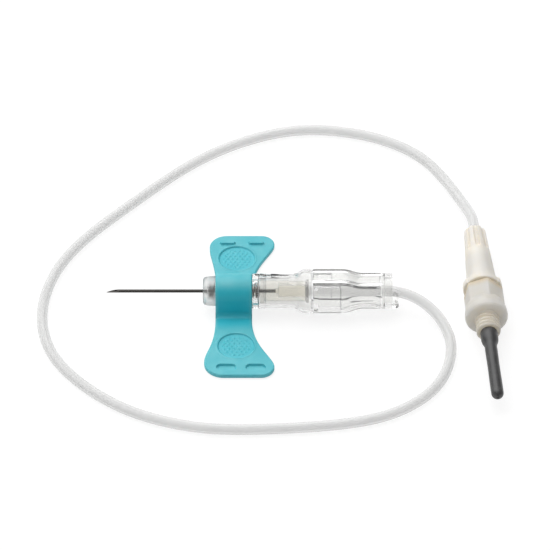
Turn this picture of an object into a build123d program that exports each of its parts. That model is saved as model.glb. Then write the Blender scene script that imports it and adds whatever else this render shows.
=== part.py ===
from build123d import *
import os
from math import cos, radians, sin, tan

# A safety winged blood-collection set lying on a table.
# X runs along the needle, with its tip at the low end. Z is up and the table is at zero.
# The origin is under the middle of the set, without its tube and what is on the tube.

# Needle, 23 gauge, in millimetres like every length here
NEEDLE_DIAMETER = 0.64
NEEDLE_BORE = 0.34
NEEDLE_SHOWING = 19.05
BEVEL_ANGLE = 12.0
LANCET_ANGLE = 18.0
LANCET_TURN = 35.0

# Clearances: glued or pressed together, running, and around the levers
SNUG = 0.02
RUNNING = 0.12
LEVER_END_GAP = 0.3
LEVER_SLOT = 0.6
HINGE_GAP = 0.1
NEEDLE_PLAY = 0.25
SLEEVE_PLAY = 0.19

# Clear housing, lengths from the nose backwards
COLLAR_LENGTH = 2.45
COLLAR_FRONT_RADIUS = 2.8
COLLAR_RADIUS = 2.98
COLLAR_ROUND = 0.6
NOSE_WALL = 1.0
NECK_RADIUS = 2.75
RIM_LENGTH = 2.6
RIM_RADIUS = 3.45
BARREL_LENGTH = 5.05
BARREL_RADIUS = 3.35
TOP_FLAT_HEIGHT = 3.05
TOP_FLAT_INSET = 0.5
FLARE_LENGTH = 3.2
BULGE_LENGTH = 6.4
BULGE_RADIUS = 4.4
BULGE_WALL = 0.7
TAPER_LENGTH = 5.0
TAIL_LENGTH = 5.3
TAIL_RADIUS = 3.55
TAIL_WALL = 0.5
RING_LENGTH = 1.6
LIP_LENGTH = 1.3
LIP_HALF_WIDTH = 1.7
LIP_NOTCH_RADIUS = 0.6

# Release levers, cut from the sides of the bulge and tail
WINDOW_SETBACK = 0.8
WINDOW_RING_WALL = 0.4
SPINE_HALF_WIDTH = 1.4
CATCH_LENGTH = 1.0
BLOCK_RADIUS = 3.2
FAR_BLOCK_LENGTH = 3.7
NEAR_BLOCK_LENGTH = 5.4

# Spring
SPRING_LENGTH = 10.3
SPRING_DIAMETER = 2.9
SPRING_WIRE = 0.42
SPRING_TURNS = 10

# Needle carrier
GUIDE_RADIUS = 2.5
GUIDE_LENGTH = 0.7
CARRIER_RADIUS = 2.0
CARRIER_LENGTH = 8.3
CATCH_COLLAR_RADIUS = 2.3
CATCH_COLLAR_LENGTH = 0.5
SPIGOT_LENGTH = 2.0
TUBE_SOCKET_DEPTH = 6.0
FLOW_BORE_RADIUS = 0.4
FLOW_GAP = 0.5

# Wings and their saddle
SADDLE_LENGTH = 7.2
SADDLE_RADIUS = 3.45
SADDLE_FILLET = 1.1
WING_THICKNESS = 0.95
WING_REACH = 20.6
FAR_WING_FRONT = 4.95
NEAR_WING_FRONT = 5.7
WING_REAR = 8.0
FAR_FRONT_CORNER = 3.4
NEAR_FRONT_CORNER = 3.8
REAR_CORNER = 2.6
FRONT_WAIST_PULL = 7.5
FRONT_TIP_PULL = 3.2
REAR_WAIST_PULL = 7.4
REAR_TIP_PULL = 2.6
WING_EDGE_ROUND = 0.3
PAD_RADIUS = 3.6
PAD_DEPTH = 0.2
FAR_PAD_FROM_TIP = 6.9
NEAR_PAD_FROM_TIP = 8.5
PAD_OFFSET = 0.5
BAR_LENGTH = 3.1
BAR_WIDTH = 1.0
BAR_HEIGHT = 0.45
BAR_FROM_TIP = 2.35
BAR_PLACES = (-1.4, 4.35)
POCKET_PLAY = 0.35

# Tube
TUBE_DIAMETER = 2.1
TUBE_BORE = 1.2

# Female luer, lengths from its tube end
LUER_NOSE = (44.27, 18.06)
LUER_ANGLE = -86.5
LUER_LENGTH = 17.55
LUER_NOSE_RADIUS = 2.15
LUER_FOOT_RADIUS = 3.0
LUER_NOSE_ROUND = 0.8
LUER_TUBE_DEPTH = 5.0
LUER_MOUTH_RADIUS = 2.15
LUER_TAPER = 0.03
LUER_SOCKET_DEPTH = 8.4
LUG_LENGTH = 1.4
LUG_RING_RADIUS = 3.6
LUG_RADIUS = 3.85
LUG_HALF_HEIGHT = 2.1
FLUTE_COUNT = 8
FLUTE_START = 0.5
FLUTE_END = 6.7
FLUTE_WIDTH = 0.85
FLUTE_FLOOR_RADIUS = 1.75

# Luer adapter with its rear needle and rubber sleeve
MALE_LENGTH = 7.5
HEX_GAP = 0.6
HEX_LENGTH = 3.6
HEX_ACROSS_FLATS = 7.0
HEX_TURN = 20.0
BELL_LENGTH = 3.0
DISC_LENGTH = 1.4
DISC_RADIUS = 4.2
DISC_ROUND = 0.5
THREAD_LENGTH = 3.8
THREAD_RADIUS = 2.4
BOSS_LENGTH = 2.0
BOSS_RADIUS = 0.95
REAR_NEEDLE_DIAMETER = 0.82
REAR_NEEDLE_BORE = 0.5
REAR_NEEDLE_HELD = 6.0
REAR_NEEDLE_TIP_GAP = 1.7
SLEEVE_LENGTH = 18.6
SLEEVE_BULB_LENGTH = 1.8
SLEEVE_TAPER_LENGTH = 2.8
SLEEVE_BULB_RADIUS = 1.7
SLEEVE_RADIUS = 1.2
SLEEVE_TIP_WALL = 1.2

# Places along the housing, worked out from its lengths
HOUSING_LENGTH = (COLLAR_LENGTH + SADDLE_LENGTH + 2 * SNUG + RIM_LENGTH + BARREL_LENGTH + FLARE_LENGTH
                  + BULGE_LENGTH + TAPER_LENGTH + TAIL_LENGTH + LIP_LENGTH)
TIP_X = -(NEEDLE_SHOWING + HOUSING_LENGTH) / 2
NOSE_X = TIP_X + NEEDLE_SHOWING
NECK_START_X = NOSE_X + COLLAR_LENGTH
NECK_END_X = NECK_START_X + SADDLE_LENGTH + 2 * SNUG
SADDLE_X = (NECK_START_X + NECK_END_X) / 2
RIM_END_X = NECK_END_X + RIM_LENGTH
FLARE_START_X = RIM_END_X + BARREL_LENGTH
BULGE_START_X = FLARE_START_X + FLARE_LENGTH
BULGE_END_X = BULGE_START_X + BULGE_LENGTH
TAIL_START_X = BULGE_END_X + TAPER_LENGTH
RING_END_X = TAIL_START_X + TAIL_LENGTH
RING_START_X = RING_END_X - RING_LENGTH
GUIDE_X = NOSE_X + NOSE_WALL + SPRING_LENGTH
CARRIER_END_X = GUIDE_X + GUIDE_LENGTH + CARRIER_LENGTH + CATCH_COLLAR_LENGTH
TUBE_START_X = CARRIER_END_X - TUBE_SOCKET_DEPTH
NEEDLE_END_X = TUBE_START_X - FLOW_GAP
WINDOW_START_X = BULGE_START_X + WINDOW_SETBACK
WINDOW_END_X = RING_START_X - WINDOW_RING_WALL
AXIS_HEIGHT = BULGE_RADIUS
BORE_RADIUS = GUIDE_RADIUS + RUNNING
NEEDLE_HOLE_RADIUS = NEEDLE_DIAMETER / 2 + NEEDLE_PLAY
SPIGOT_RADIUS = SPRING_DIAMETER / 2 - SPRING_WIRE - RUNNING
RING_OPENING_RADIUS = CATCH_COLLAR_RADIUS + RUNNING
HINGE_Y = SADDLE_RADIUS + SADDLE_FILLET + HINGE_GAP

# The luer's frame: its own X runs from the tube end towards the rubber sleeve
LUER_PLACE = Location((*LUER_NOSE, DISC_RADIUS), (0, 0, LUER_ANGLE))
LUER_DIRECTION = Vector(cos(radians(LUER_ANGLE)), sin(radians(LUER_ANGLE)), 0)
HEX_START = LUER_LENGTH + HEX_GAP
DISC_START = HEX_START + HEX_LENGTH + BELL_LENGTH
THREAD_START = DISC_START + DISC_LENGTH
SLEEVE_START = THREAD_START + THREAD_LENGTH
SLEEVE_END = SLEEVE_START + SNUG + SLEEVE_LENGTH
SLEEVE_BORE_RADIUS = REAR_NEEDLE_DIAMETER / 2 + SLEEVE_PLAY

# The tube's route on the table, chosen by eye: out of the housing, round the front and back to the luer
LYING = TUBE_DIAMETER / 2
TUBE_ROUTE = [
    (28.7, 0.0, AXIS_HEIGHT), (33.3, -1.9, 3.7), (37.3, -6.0, 2.2),
    (39.4, -13.0, LYING), (36.6, -23.8, LYING), (28.6, -31.4, LYING), (18.0, -34.8, LYING),
    (-1.4, -36.3, LYING), (-12.3, -35.4, LYING), (-23.4, -31.4, LYING), (-32.5, -24.3, LYING),
    (-39.4, -15.2, LYING), (-41.9, -4.0, LYING), (-40.1, 8.0, LYING), (-34.7, 18.5, LYING),
    (-24.3, 30.5, LYING), (-13.5, 42.1, LYING), (-4.2, 48.9, LYING), (6.1, 53.2, LYING),
    (15.6, 53.7, LYING), (26.2, 50.9, LYING), (34.3, 45.3, LYING), (39.0, 37.6, 1.2),
    (42.3, 28.9, 2.4), (44.0, 22.45, DISC_RADIUS),
]
ARC_SHARE = 0.45


def turned(*points):
    """A solid turned about the X axis from (place, radius) corners."""
    return revolve(make_face(Polyline(*points, close=True)), Axis.X)


def s_curve(start, end):
    """A curve between two (place, radius) points that runs along the axis at both ends."""
    middle = (start[0] + end[0]) / 2
    return Bezier(start, (middle, start[1]), (middle, end[1]), end)


def on_axis(solid):
    """Lift a piece that was made on the X axis to the height of the needle."""
    return Pos(0, 0, AXIS_HEIGHT) * solid


def slab(start_x, end_x, start_y, end_y, half_height):
    """A box between two places along X and two along Y, as high above the axis as below it."""
    box = Box(end_x - start_x, end_y - start_y, 2 * half_height)
    return Pos((start_x + end_x) / 2, (start_y + end_y) / 2, 0) * box


def bevelled(tip_x, end_x, diameter, bore, heading):
    """A cannula on the X axis with a lancet point at tip_x; heading is 1 if the point is at the low end."""
    radius = diameter / 2
    length = abs(end_x - tip_x)
    tube = turned((0, bore / 2), (length, bore / 2), (length, radius), (0, radius))
    cutter = Box(4 * length, 4 * diameter, 4 * diameter, align=(Align.CENTER, Align.CENTER, Align.MIN))
    tube -= Pos(0, 0, -radius) * Rot(0, -BEVEL_ANGLE, 0) * cutter
    setback = radius * (1 - cos(radians(LANCET_TURN))) / tan(radians(LANCET_ANGLE))
    for turn in (LANCET_TURN, -LANCET_TURN):
        tube -= Rot(turn, 0, 0) * Pos(-setback, 0, -radius) * Rot(0, -LANCET_ANGLE, 0) * cutter
    if heading < 0:
        tube = Rot(0, 0, 180) * tube
    return Pos(tip_x, 0, 0) * tube


def needle_cannula():
    """The front cannula, bevel up, from its point to its blunt end inside the carrier."""
    return on_axis(bevelled(TIP_X, NEEDLE_END_X, NEEDLE_DIAMETER, NEEDLE_BORE, 1))


def needle_carrier():
    """The sliding moulding: spigot inside the spring, guide flange, body and catch collar."""
    needle_hole = NEEDLE_DIAMETER / 2 + SNUG
    tube_hole = TUBE_DIAMETER / 2 + SNUG
    spigot_x = GUIDE_X - SPIGOT_LENGTH
    body_x = GUIDE_X + GUIDE_LENGTH
    collar_x = CARRIER_END_X - CATCH_COLLAR_LENGTH
    return on_axis(turned(
        (spigot_x, needle_hole), (spigot_x, SPIGOT_RADIUS), (GUIDE_X, SPIGOT_RADIUS),
        (GUIDE_X, GUIDE_RADIUS), (body_x, GUIDE_RADIUS), (body_x, CARRIER_RADIUS),
        (collar_x, CARRIER_RADIUS), (collar_x, CATCH_COLLAR_RADIUS),
        (CARRIER_END_X, CATCH_COLLAR_RADIUS), (CARRIER_END_X, tube_hole),
        (TUBE_START_X, tube_hole), (TUBE_START_X, FLOW_BORE_RADIUS),
        (NEEDLE_END_X, FLOW_BORE_RADIUS), (NEEDLE_END_X, needle_hole)))


def retraction_spring():
    """The coil, pressed short between the nose wall and the carrier's guide flange."""
    height = SPRING_LENGTH - SPRING_WIRE - 2 * SNUG
    coil = Helix(height / SPRING_TURNS, height, (SPRING_DIAMETER - SPRING_WIRE) / 2,
                 center=(NOSE_X + NOSE_WALL + SPRING_WIRE / 2 + SNUG, 0, 0), direction=(1, 0, 0))
    section = Plane(origin=coil @ 0, z_dir=coil % 0) * Circle(SPRING_WIRE / 2)
    return on_axis(sweep(section, path=coil, is_frenet=True))


def housing_body():
    """The turned form of the housing, before its windows are cut."""
    spring_hole = SPRING_DIAMETER / 2 + RUNNING
    chamber_end = GUIDE_X - SPRING_WIRE
    bulge_bore = BULGE_RADIUS - BULGE_WALL
    tail_bore = TAIL_RADIUS - TAIL_WALL
    outside = Polyline(
        (NOSE_X, NEEDLE_HOLE_RADIUS), (NOSE_X, COLLAR_FRONT_RADIUS), (NECK_START_X, COLLAR_RADIUS),
        (NECK_START_X, NECK_RADIUS), (NECK_END_X, NECK_RADIUS), (NECK_END_X, RIM_RADIUS),
        (RIM_END_X, RIM_RADIUS), (RIM_END_X, BARREL_RADIUS), (FLARE_START_X, BARREL_RADIUS))
    outside += s_curve((FLARE_START_X, BARREL_RADIUS), (BULGE_START_X, BULGE_RADIUS))
    outside += Line((BULGE_START_X, BULGE_RADIUS), (BULGE_END_X, BULGE_RADIUS))
    outside += s_curve((BULGE_END_X, BULGE_RADIUS), (TAIL_START_X, TAIL_RADIUS))
    back = Polyline(
        (TAIL_START_X, TAIL_RADIUS), (RING_END_X, TAIL_RADIUS), (RING_END_X, RING_OPENING_RADIUS),
        (RING_START_X, RING_OPENING_RADIUS), (RING_START_X, tail_bore), (TAIL_START_X, tail_bore))
    inside = s_curve((TAIL_START_X, tail_bore), (BULGE_END_X, bulge_bore))
    inside += Line((BULGE_END_X, bulge_bore), (BULGE_START_X, bulge_bore))
    inside += s_curve((BULGE_START_X, bulge_bore), (FLARE_START_X, BORE_RADIUS))
    front = Polyline(
        (FLARE_START_X, BORE_RADIUS), (chamber_end, BORE_RADIUS), (chamber_end, spring_hole),
        (NOSE_X + NOSE_WALL, spring_hole), (NOSE_X + NOSE_WALL, NEEDLE_HOLE_RADIUS),
        (NOSE_X, NEEDLE_HOLE_RADIUS))
    return revolve(make_face(outside + back + inside + front), Axis.X)


def safety_housing():
    """The housing with a flat on its barrel, a window for each lever between two spines, and a rear lip."""
    body = housing_body()
    nose_edges = body.edges().filter_by(GeomType.CIRCLE).filter_by_position(Axis.X, NOSE_X, NOSE_X)
    body = fillet(nose_edges.sort_by(SortBy.RADIUS)[-1], COLLAR_ROUND)
    flat = slab(NECK_END_X + TOP_FLAT_INSET, FLARE_START_X - TOP_FLAT_INSET, -RIM_RADIUS, RIM_RADIUS, RIM_RADIUS)
    body -= Pos(0, 0, TOP_FLAT_HEIGHT + RIM_RADIUS) * flat
    outside = 2 * BULGE_RADIUS
    for side in (1, -1):
        edges = sorted((side * SPINE_HALF_WIDTH, side * outside))
        body -= slab(WINDOW_START_X, WINDOW_END_X, *edges, outside)
    lip_end = RING_END_X + LIP_LENGTH
    lip = turned((RING_END_X, RING_OPENING_RADIUS), (lip_end, RING_OPENING_RADIUS),
                 (lip_end, TAIL_RADIUS), (RING_END_X, TAIL_RADIUS))
    lip &= Pos(0, 0, -TAIL_RADIUS) * slab(RING_END_X, lip_end, -LIP_HALF_WIDTH, LIP_HALF_WIDTH, TAIL_RADIUS)
    lip -= Pos(lip_end, 0, -TAIL_RADIUS) * Cylinder(LIP_NOTCH_RADIUS, 2 * TAIL_RADIUS)
    return on_axis(body + lip)


def release_lever(side, block_length):
    """One side leaf: the wall out of the housing's window, with a thick block and a catch rib at its front end."""
    start = WINDOW_START_X + LEVER_END_GAP
    end = WINDOW_END_X - LEVER_END_GAP
    outside = 2 * BULGE_RADIUS
    edges = sorted((side * (SPINE_HALF_WIDTH + LEVER_SLOT), side * outside))
    middle_radius = BULGE_RADIUS - BULGE_WALL / 2
    catch_end = start + CATCH_LENGTH
    block_end = start + block_length
    rib = turned((start, BORE_RADIUS), (catch_end, BORE_RADIUS), (catch_end, BLOCK_RADIUS),
                 (block_end, BLOCK_RADIUS), (block_end, middle_radius), (start, middle_radius))
    return on_axis((housing_body() + rib) & slab(start, end, *edges, outside))


def wing_saddle():
    """The sleeve on the neck: a round arch with upright sides on a flat foot."""
    arch = Pos(0, AXIS_HEIGHT) * Circle(SADDLE_RADIUS)
    arch += Pos(0, AXIS_HEIGHT / 2) * Rectangle(2 * SADDLE_RADIUS, AXIS_HEIGHT)
    foot = Pos(0, WING_THICKNESS / 2) * Rectangle(2 * HINGE_Y - HINGE_GAP, WING_THICKNESS)
    outline = arch + foot
    creases = [corner for corner in outline.vertices()
               if abs(corner.Y - WING_THICKNESS) < SNUG and abs(abs(corner.X) - SADDLE_RADIUS) < SNUG]
    outline = fillet(creases, SADDLE_FILLET)
    outline -= Pos(0, AXIS_HEIGHT) * Circle(NECK_RADIUS + SNUG)
    across = Plane(origin=(SADDLE_X - SADDLE_LENGTH / 2, 0, 0), x_dir=(0, 1, 0), z_dir=(1, 0, 0))
    return extrude(across * outline, SADDLE_LENGTH)


def wing_outline(front, front_corner):
    """A wing seen from above, about the middle of the saddle, with its width in front and that side's corner."""
    half_root = SADDLE_LENGTH / 2
    root_y = HINGE_Y + HINGE_GAP / 2
    rear_y = WING_REACH - REAR_CORNER
    front_y = WING_REACH - front_corner
    outline = Line((-half_root, root_y), (half_root, root_y))
    outline += Bezier((half_root, root_y), (half_root, root_y + REAR_WAIST_PULL),
                      (WING_REAR, rear_y - REAR_TIP_PULL), (WING_REAR, rear_y))
    outline += CenterArc((WING_REAR - REAR_CORNER, rear_y), REAR_CORNER, 0, 90)
    outline += Line((WING_REAR - REAR_CORNER, WING_REACH), (front_corner - front, WING_REACH))
    outline += CenterArc((front_corner - front, front_y), front_corner, 90, 90)
    outline += Bezier((-front, front_y), (-front, front_y - FRONT_TIP_PULL),
                      (-half_root, root_y + FRONT_WAIST_PULL), (-half_root, root_y))
    return make_face(outline)


def wing(side):
    """One wing on the table, with its round pad, and bars on the far wing or pockets on the near one."""
    if side > 0:
        outline = wing_outline(FAR_WING_FRONT, FAR_FRONT_CORNER)
        pad_y = WING_REACH - FAR_PAD_FROM_TIP
    else:
        outline = wing_outline(NEAR_WING_FRONT, NEAR_FRONT_CORNER)
        pad_y = WING_REACH - NEAR_PAD_FROM_TIP
    plate = extrude(outline, WING_THICKNESS)
    root_y = HINGE_Y + HINGE_GAP / 2
    rims = [edge for edge in plate.edges()
            if edge.bounding_box().size.Z < SNUG and edge.bounding_box().max.Y > root_y + SNUG]
    plate = fillet(rims, WING_EDGE_ROUND)
    plate -= Pos(PAD_OFFSET, pad_y, WING_THICKNESS) * Cylinder(PAD_RADIUS, 2 * PAD_DEPTH)
    for place in BAR_PLACES:
        spot = Pos(place, WING_REACH - BAR_FROM_TIP, WING_THICKNESS)
        if side > 0:
            plate += spot * extrude(SlotOverall(BAR_LENGTH, BAR_WIDTH), BAR_HEIGHT)
        else:
            pocket = SlotOverall(BAR_LENGTH + 2 * POCKET_PLAY, BAR_WIDTH + 2 * POCKET_PLAY)
            plate -= spot * extrude(pocket, BAR_HEIGHT, both=True)
    if side < 0:
        plate = mirror(plate, Plane.XZ)
    return Pos(SADDLE_X, 0, 0) * plate


def tube_points():
    """The tube's corners, from the bottom of the carrier's socket to the bottom of the luer's."""
    luer_end = Vector(*LUER_NOSE, DISC_RADIUS) + LUER_DIRECTION * LUER_TUBE_DEPTH
    start = Vector(TUBE_START_X, 0, AXIS_HEIGHT)
    return [start] + [Vector(*point) for point in TUBE_ROUTE] + [luer_end]


def tubing():
    """The clear tube: straight runs joined by arcs as large as the runs allow."""
    points = tube_points()
    radii = []
    for before, corner, after in zip(points, points[1:], points[2:]):
        turn = radians((corner - before).get_angle(after - corner))
        shorter = min((corner - before).length, (after - corner).length)
        radii.append(ARC_SHARE * shorter / tan(turn / 2))
    path = FilletPolyline(*points, radius=radii)
    section = Circle(TUBE_DIAMETER / 2) - Circle(TUBE_BORE / 2)
    solid = sweep(Plane(origin=path @ 0, z_dir=path % 0) * section, path=path)
    print("tube radii", [round(radius, 1) for radius in radii])
    print("tube length", round(path.length, 2), "volume", round(solid.volume, 3),
          "section times length", round(section.area * path.length, 3))
    return solid


def female_luer():
    """The ivory socket: a fluted cone with two lugs round a tapered mouth."""
    tube_hole = TUBE_DIAMETER / 2 + SNUG
    lug_x = LUER_LENGTH - LUG_LENGTH
    socket_x = LUER_LENGTH - LUER_SOCKET_DEPTH
    socket_end_radius = LUER_MOUTH_RADIUS - LUER_TAPER * LUER_SOCKET_DEPTH
    body = turned((0, tube_hole), (0, LUER_NOSE_RADIUS), (lug_x, LUER_FOOT_RADIUS),
                  (lug_x, LUG_RING_RADIUS), (LUER_LENGTH, LUG_RING_RADIUS),
                  (LUER_LENGTH, LUER_MOUTH_RADIUS), (socket_x, socket_end_radius),
                  (socket_x, FLOW_BORE_RADIUS), (LUER_TUBE_DEPTH, FLOW_BORE_RADIUS),
                  (LUER_TUBE_DEPTH, tube_hole))
    nose_edges = body.edges().filter_by(GeomType.CIRCLE).filter_by_position(Axis.X, 0, 0)
    body = fillet(nose_edges.sort_by(SortBy.RADIUS)[-1], LUER_NOSE_ROUND)
    flute = Box(FLUTE_END - FLUTE_START, FLUTE_WIDTH, LUG_RADIUS,
                align=(Align.MIN, Align.CENTER, Align.MIN))
    for number in range(FLUTE_COUNT):
        body -= Rot(360 * number / FLUTE_COUNT, 0, 0) * Pos(FLUTE_START, 0, FLUTE_FLOOR_RADIUS) * flute
    lugs = turned((lug_x, LUER_FOOT_RADIUS), (LUER_LENGTH, LUER_FOOT_RADIUS),
                  (LUER_LENGTH, LUG_RADIUS), (lug_x, LUG_RADIUS))
    lugs &= slab(lug_x, LUER_LENGTH, -LUG_RADIUS, LUG_RADIUS, LUG_HALF_HEIGHT)
    return LUER_PLACE * (body + lugs)


def adapter_hub():
    """The adapter: male taper, hex grip, bell and disc, threaded boss and a nib for the sleeve."""
    needle_hole = REAR_NEEDLE_DIAMETER / 2 + SNUG
    needle_start = SLEEVE_START - REAR_NEEDLE_HELD
    male_x = HEX_START - MALE_LENGTH
    male_root = LUER_MOUTH_RADIUS - SNUG + LUER_TAPER * HEX_GAP
    male_tip = male_root - LUER_TAPER * MALE_LENGTH
    hex_end = HEX_START + HEX_LENGTH
    hex_inside = HEX_ACROSS_FLATS / 2
    boss_end = SLEEVE_START + BOSS_LENGTH
    outline = Polyline((male_x, FLOW_BORE_RADIUS), (male_x, male_tip), (HEX_START, male_root),
                       (HEX_START, hex_inside), (hex_end, hex_inside))
    outline += s_curve((hex_end, hex_inside), (DISC_START, DISC_RADIUS))
    outline += Polyline((DISC_START, DISC_RADIUS), (THREAD_START, DISC_RADIUS),
                        (THREAD_START, THREAD_RADIUS), (SLEEVE_START, THREAD_RADIUS),
                        (SLEEVE_START, BOSS_RADIUS), (boss_end, BOSS_RADIUS), (boss_end, needle_hole),
                        (needle_start, needle_hole), (needle_start, FLOW_BORE_RADIUS),
                        (male_x, FLOW_BORE_RADIUS))
    body = revolve(make_face(outline), Axis.X)
    rim = body.edges().filter_by(GeomType.CIRCLE).filter_by_position(Axis.X, THREAD_START, THREAD_START)
    body = fillet(rim.sort_by(SortBy.RADIUS)[-1], DISC_ROUND)
    corners = Rot(0, 0, HEX_TURN) * RegularPolygon(hex_inside, 6, major_radius=False)
    corners -= Circle(hex_inside - SNUG)
    body += extrude(Plane(origin=(HEX_START, 0, 0), z_dir=(1, 0, 0)) * corners, HEX_LENGTH)
    return LUER_PLACE * body


def adapter_needle():
    """The rear cannula, glued in the hub and hidden by the sleeve."""
    start = SLEEVE_START - REAR_NEEDLE_HELD
    tip = SLEEVE_END - SLEEVE_TIP_WALL - REAR_NEEDLE_TIP_GAP
    return LUER_PLACE * bevelled(tip, start, REAR_NEEDLE_DIAMETER, REAR_NEEDLE_BORE, -1)


def rubber_sleeve():
    """The rubber sleeve: a bulb on the hub's nib, then a straight finger with a round closed tip."""
    start = SLEEVE_START + SNUG
    bulb_end = start + SLEEVE_BULB_LENGTH
    finger_x = bulb_end + SLEEVE_TAPER_LENGTH
    nib_hole = BOSS_RADIUS + SNUG
    nib_end = SLEEVE_START + BOSS_LENGTH + SNUG
    outline = Polyline((start, nib_hole), (start, SLEEVE_BULB_RADIUS), (bulb_end, SLEEVE_BULB_RADIUS))
    outline += s_curve((bulb_end, SLEEVE_BULB_RADIUS), (finger_x, SLEEVE_RADIUS))
    outline += Line((finger_x, SLEEVE_RADIUS), (SLEEVE_END - SLEEVE_RADIUS, SLEEVE_RADIUS))
    outline += CenterArc((SLEEVE_END - SLEEVE_RADIUS, 0), SLEEVE_RADIUS, 90, -90)
    bore_end = SLEEVE_END - SLEEVE_TIP_WALL
    outline += Polyline((SLEEVE_END, 0), (bore_end, 0), (bore_end, SLEEVE_BORE_RADIUS),
                        (nib_end, SLEEVE_BORE_RADIUS), (nib_end, nib_hole), (start, nib_hole))
    return LUER_PLACE * revolve(make_face(outline), Axis.X)


def main():
    """Build every piece and write each to its own file."""
    pieces = {
        "needle_cannula": needle_cannula(),
        "needle_carrier": needle_carrier(),
        "retraction_spring": retraction_spring(),
        "safety_housing": safety_housing(),
        "release_lever_near": release_lever(-1, NEAR_BLOCK_LENGTH),
        "release_lever_far": release_lever(1, FAR_BLOCK_LENGTH),
        "wing_saddle": wing_saddle(),
        "wing_near": wing(-1),
        "wing_far": wing(1),
        "tubing": tubing(),
        "female_luer": female_luer(),
        "adapter_hub": adapter_hub(),
        "adapter_needle": adapter_needle(),
        "rubber_sleeve": rubber_sleeve(),
    }
    os.makedirs("parts", exist_ok=True)
    for name, solid in pieces.items():
        export_step(solid, f"parts/{name}.step")


main()
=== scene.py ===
from math import cos, pi, radians, sin, tan

import bmesh
import bpy
import numpy as np
from bpy.props import FloatProperty, FloatVectorProperty, IntProperty, PointerProperty
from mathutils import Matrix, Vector


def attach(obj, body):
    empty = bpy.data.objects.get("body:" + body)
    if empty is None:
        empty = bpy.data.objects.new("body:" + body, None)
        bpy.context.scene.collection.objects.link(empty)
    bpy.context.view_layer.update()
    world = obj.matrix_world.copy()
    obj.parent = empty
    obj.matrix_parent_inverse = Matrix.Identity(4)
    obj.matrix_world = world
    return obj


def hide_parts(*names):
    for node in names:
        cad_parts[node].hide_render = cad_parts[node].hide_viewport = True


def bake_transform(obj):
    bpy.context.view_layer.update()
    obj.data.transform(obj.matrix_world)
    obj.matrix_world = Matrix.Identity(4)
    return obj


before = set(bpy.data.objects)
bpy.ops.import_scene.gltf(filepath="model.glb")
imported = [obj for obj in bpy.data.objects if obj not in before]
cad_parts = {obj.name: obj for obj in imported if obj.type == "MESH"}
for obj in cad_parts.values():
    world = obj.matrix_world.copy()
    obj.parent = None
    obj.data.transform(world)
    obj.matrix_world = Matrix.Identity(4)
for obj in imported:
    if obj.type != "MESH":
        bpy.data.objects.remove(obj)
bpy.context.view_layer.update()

bl_info = {
    "name": "Winged Needle Set",
    "version": (1, 0, 0),
    "blender": (4, 5, 0),
    "location": "View3D > Sidebar > Needle Set",
    "description": "Draws a safety winged needle set over its packed frame",
    "category": "Add Mesh",
}

MM = 0.001
UP = np.array((0.0, 0.0, 1.0))

# Lengths below are in millimetres, in the frame of the solids: X along the needle, Z up, the table at zero.
AXIS_HEIGHT = 4.4
TIP_X = -28.795
NOSE_X = -9.745
NECK_START_X = -7.295
NECK_END_X = -0.055
SADDLE_X = -3.675
RIM_END_X = 2.545
FLARE_START_X = 7.595
BULGE_START_X = 10.795
BULGE_END_X = 17.195
TAIL_START_X = 22.195
RING_START_X = 25.895
RING_END_X = 27.495
LIP_END_X = 28.795
WINDOW_START_X = 11.595
WINDOW_END_X = 25.495
GUIDE_X = 1.555
CARRIER_END_X = 11.055
TUBE_START_X = 5.055
NEEDLE_END_X = 4.555

NEEDLE_HOLE_RADIUS = 0.57
COLLAR_FRONT_RADIUS = 2.8
COLLAR_RADIUS = 2.98
NECK_RADIUS = 2.75
RIM_RADIUS = 3.45
BARREL_RADIUS = 3.35
TOP_FLAT_HEIGHT = 3.05
TOP_FLAT_INSET = 0.5
BULGE_RADIUS = 4.4
BULGE_BORE = 3.7
TAIL_RADIUS = 3.55
TAIL_BORE = 3.05
RING_BORE = 2.42
CHAMBER_BORE = 2.62
SPRING_BORE = 1.57
SPINE_HALF_WIDTH = 1.4
LEVER_START_X = 11.895
LEVER_END_X = 25.195
LEVER_EDGE_Y = 2.0
CATCH_END_X = 12.895
BLOCK_RADIUS = 3.2
NEAR_BLOCK_END_X = 17.295
FAR_BLOCK_END_X = 15.595

SADDLE_LENGTH = 7.2
SADDLE_RADIUS = 3.45
SADDLE_FILLET = 1.1
FOOT_HALF_WIDTH = 4.6
HINGE_Y = 4.65
WING_REACH = 20.6
WING_REAR = 8.0
REAR_CORNER = 2.6
WING_SHAPES = {
    -1: {"front": 5.7, "corner": 3.8, "pad_y": 12.1},
    1: {"front": 4.95, "corner": 3.4, "pad_y": 13.7},
}
PAD_RADIUS = 3.6
PAD_X = 0.5
PAD_HEIGHT = 0.8
BAR_LENGTH = 3.1
BAR_WIDTH = 1.0
BAR_Y = 18.25
BAR_PLACES = (-1.4, 4.35)
POCKET_PLAY = 0.35

LUER_NOSE = np.array((44.27, 18.06, 4.2))
LUER_ANGLE = radians(-86.5)
LUER_ALONG = np.array((cos(LUER_ANGLE), sin(LUER_ANGLE), 0.0))
LUER_ACROSS = np.cross(UP, LUER_ALONG)
LUER_LENGTH = 17.55
LUG_START = 16.15
FLUTE_END = 6.7
HEX_START = 18.15
HEX_TURN = 20.0
HEX_END = 21.75
DISC_START = 24.75
THREAD_START = 26.15
SLEEVE_START = 29.95
SLEEVE_END = 48.57

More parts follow.
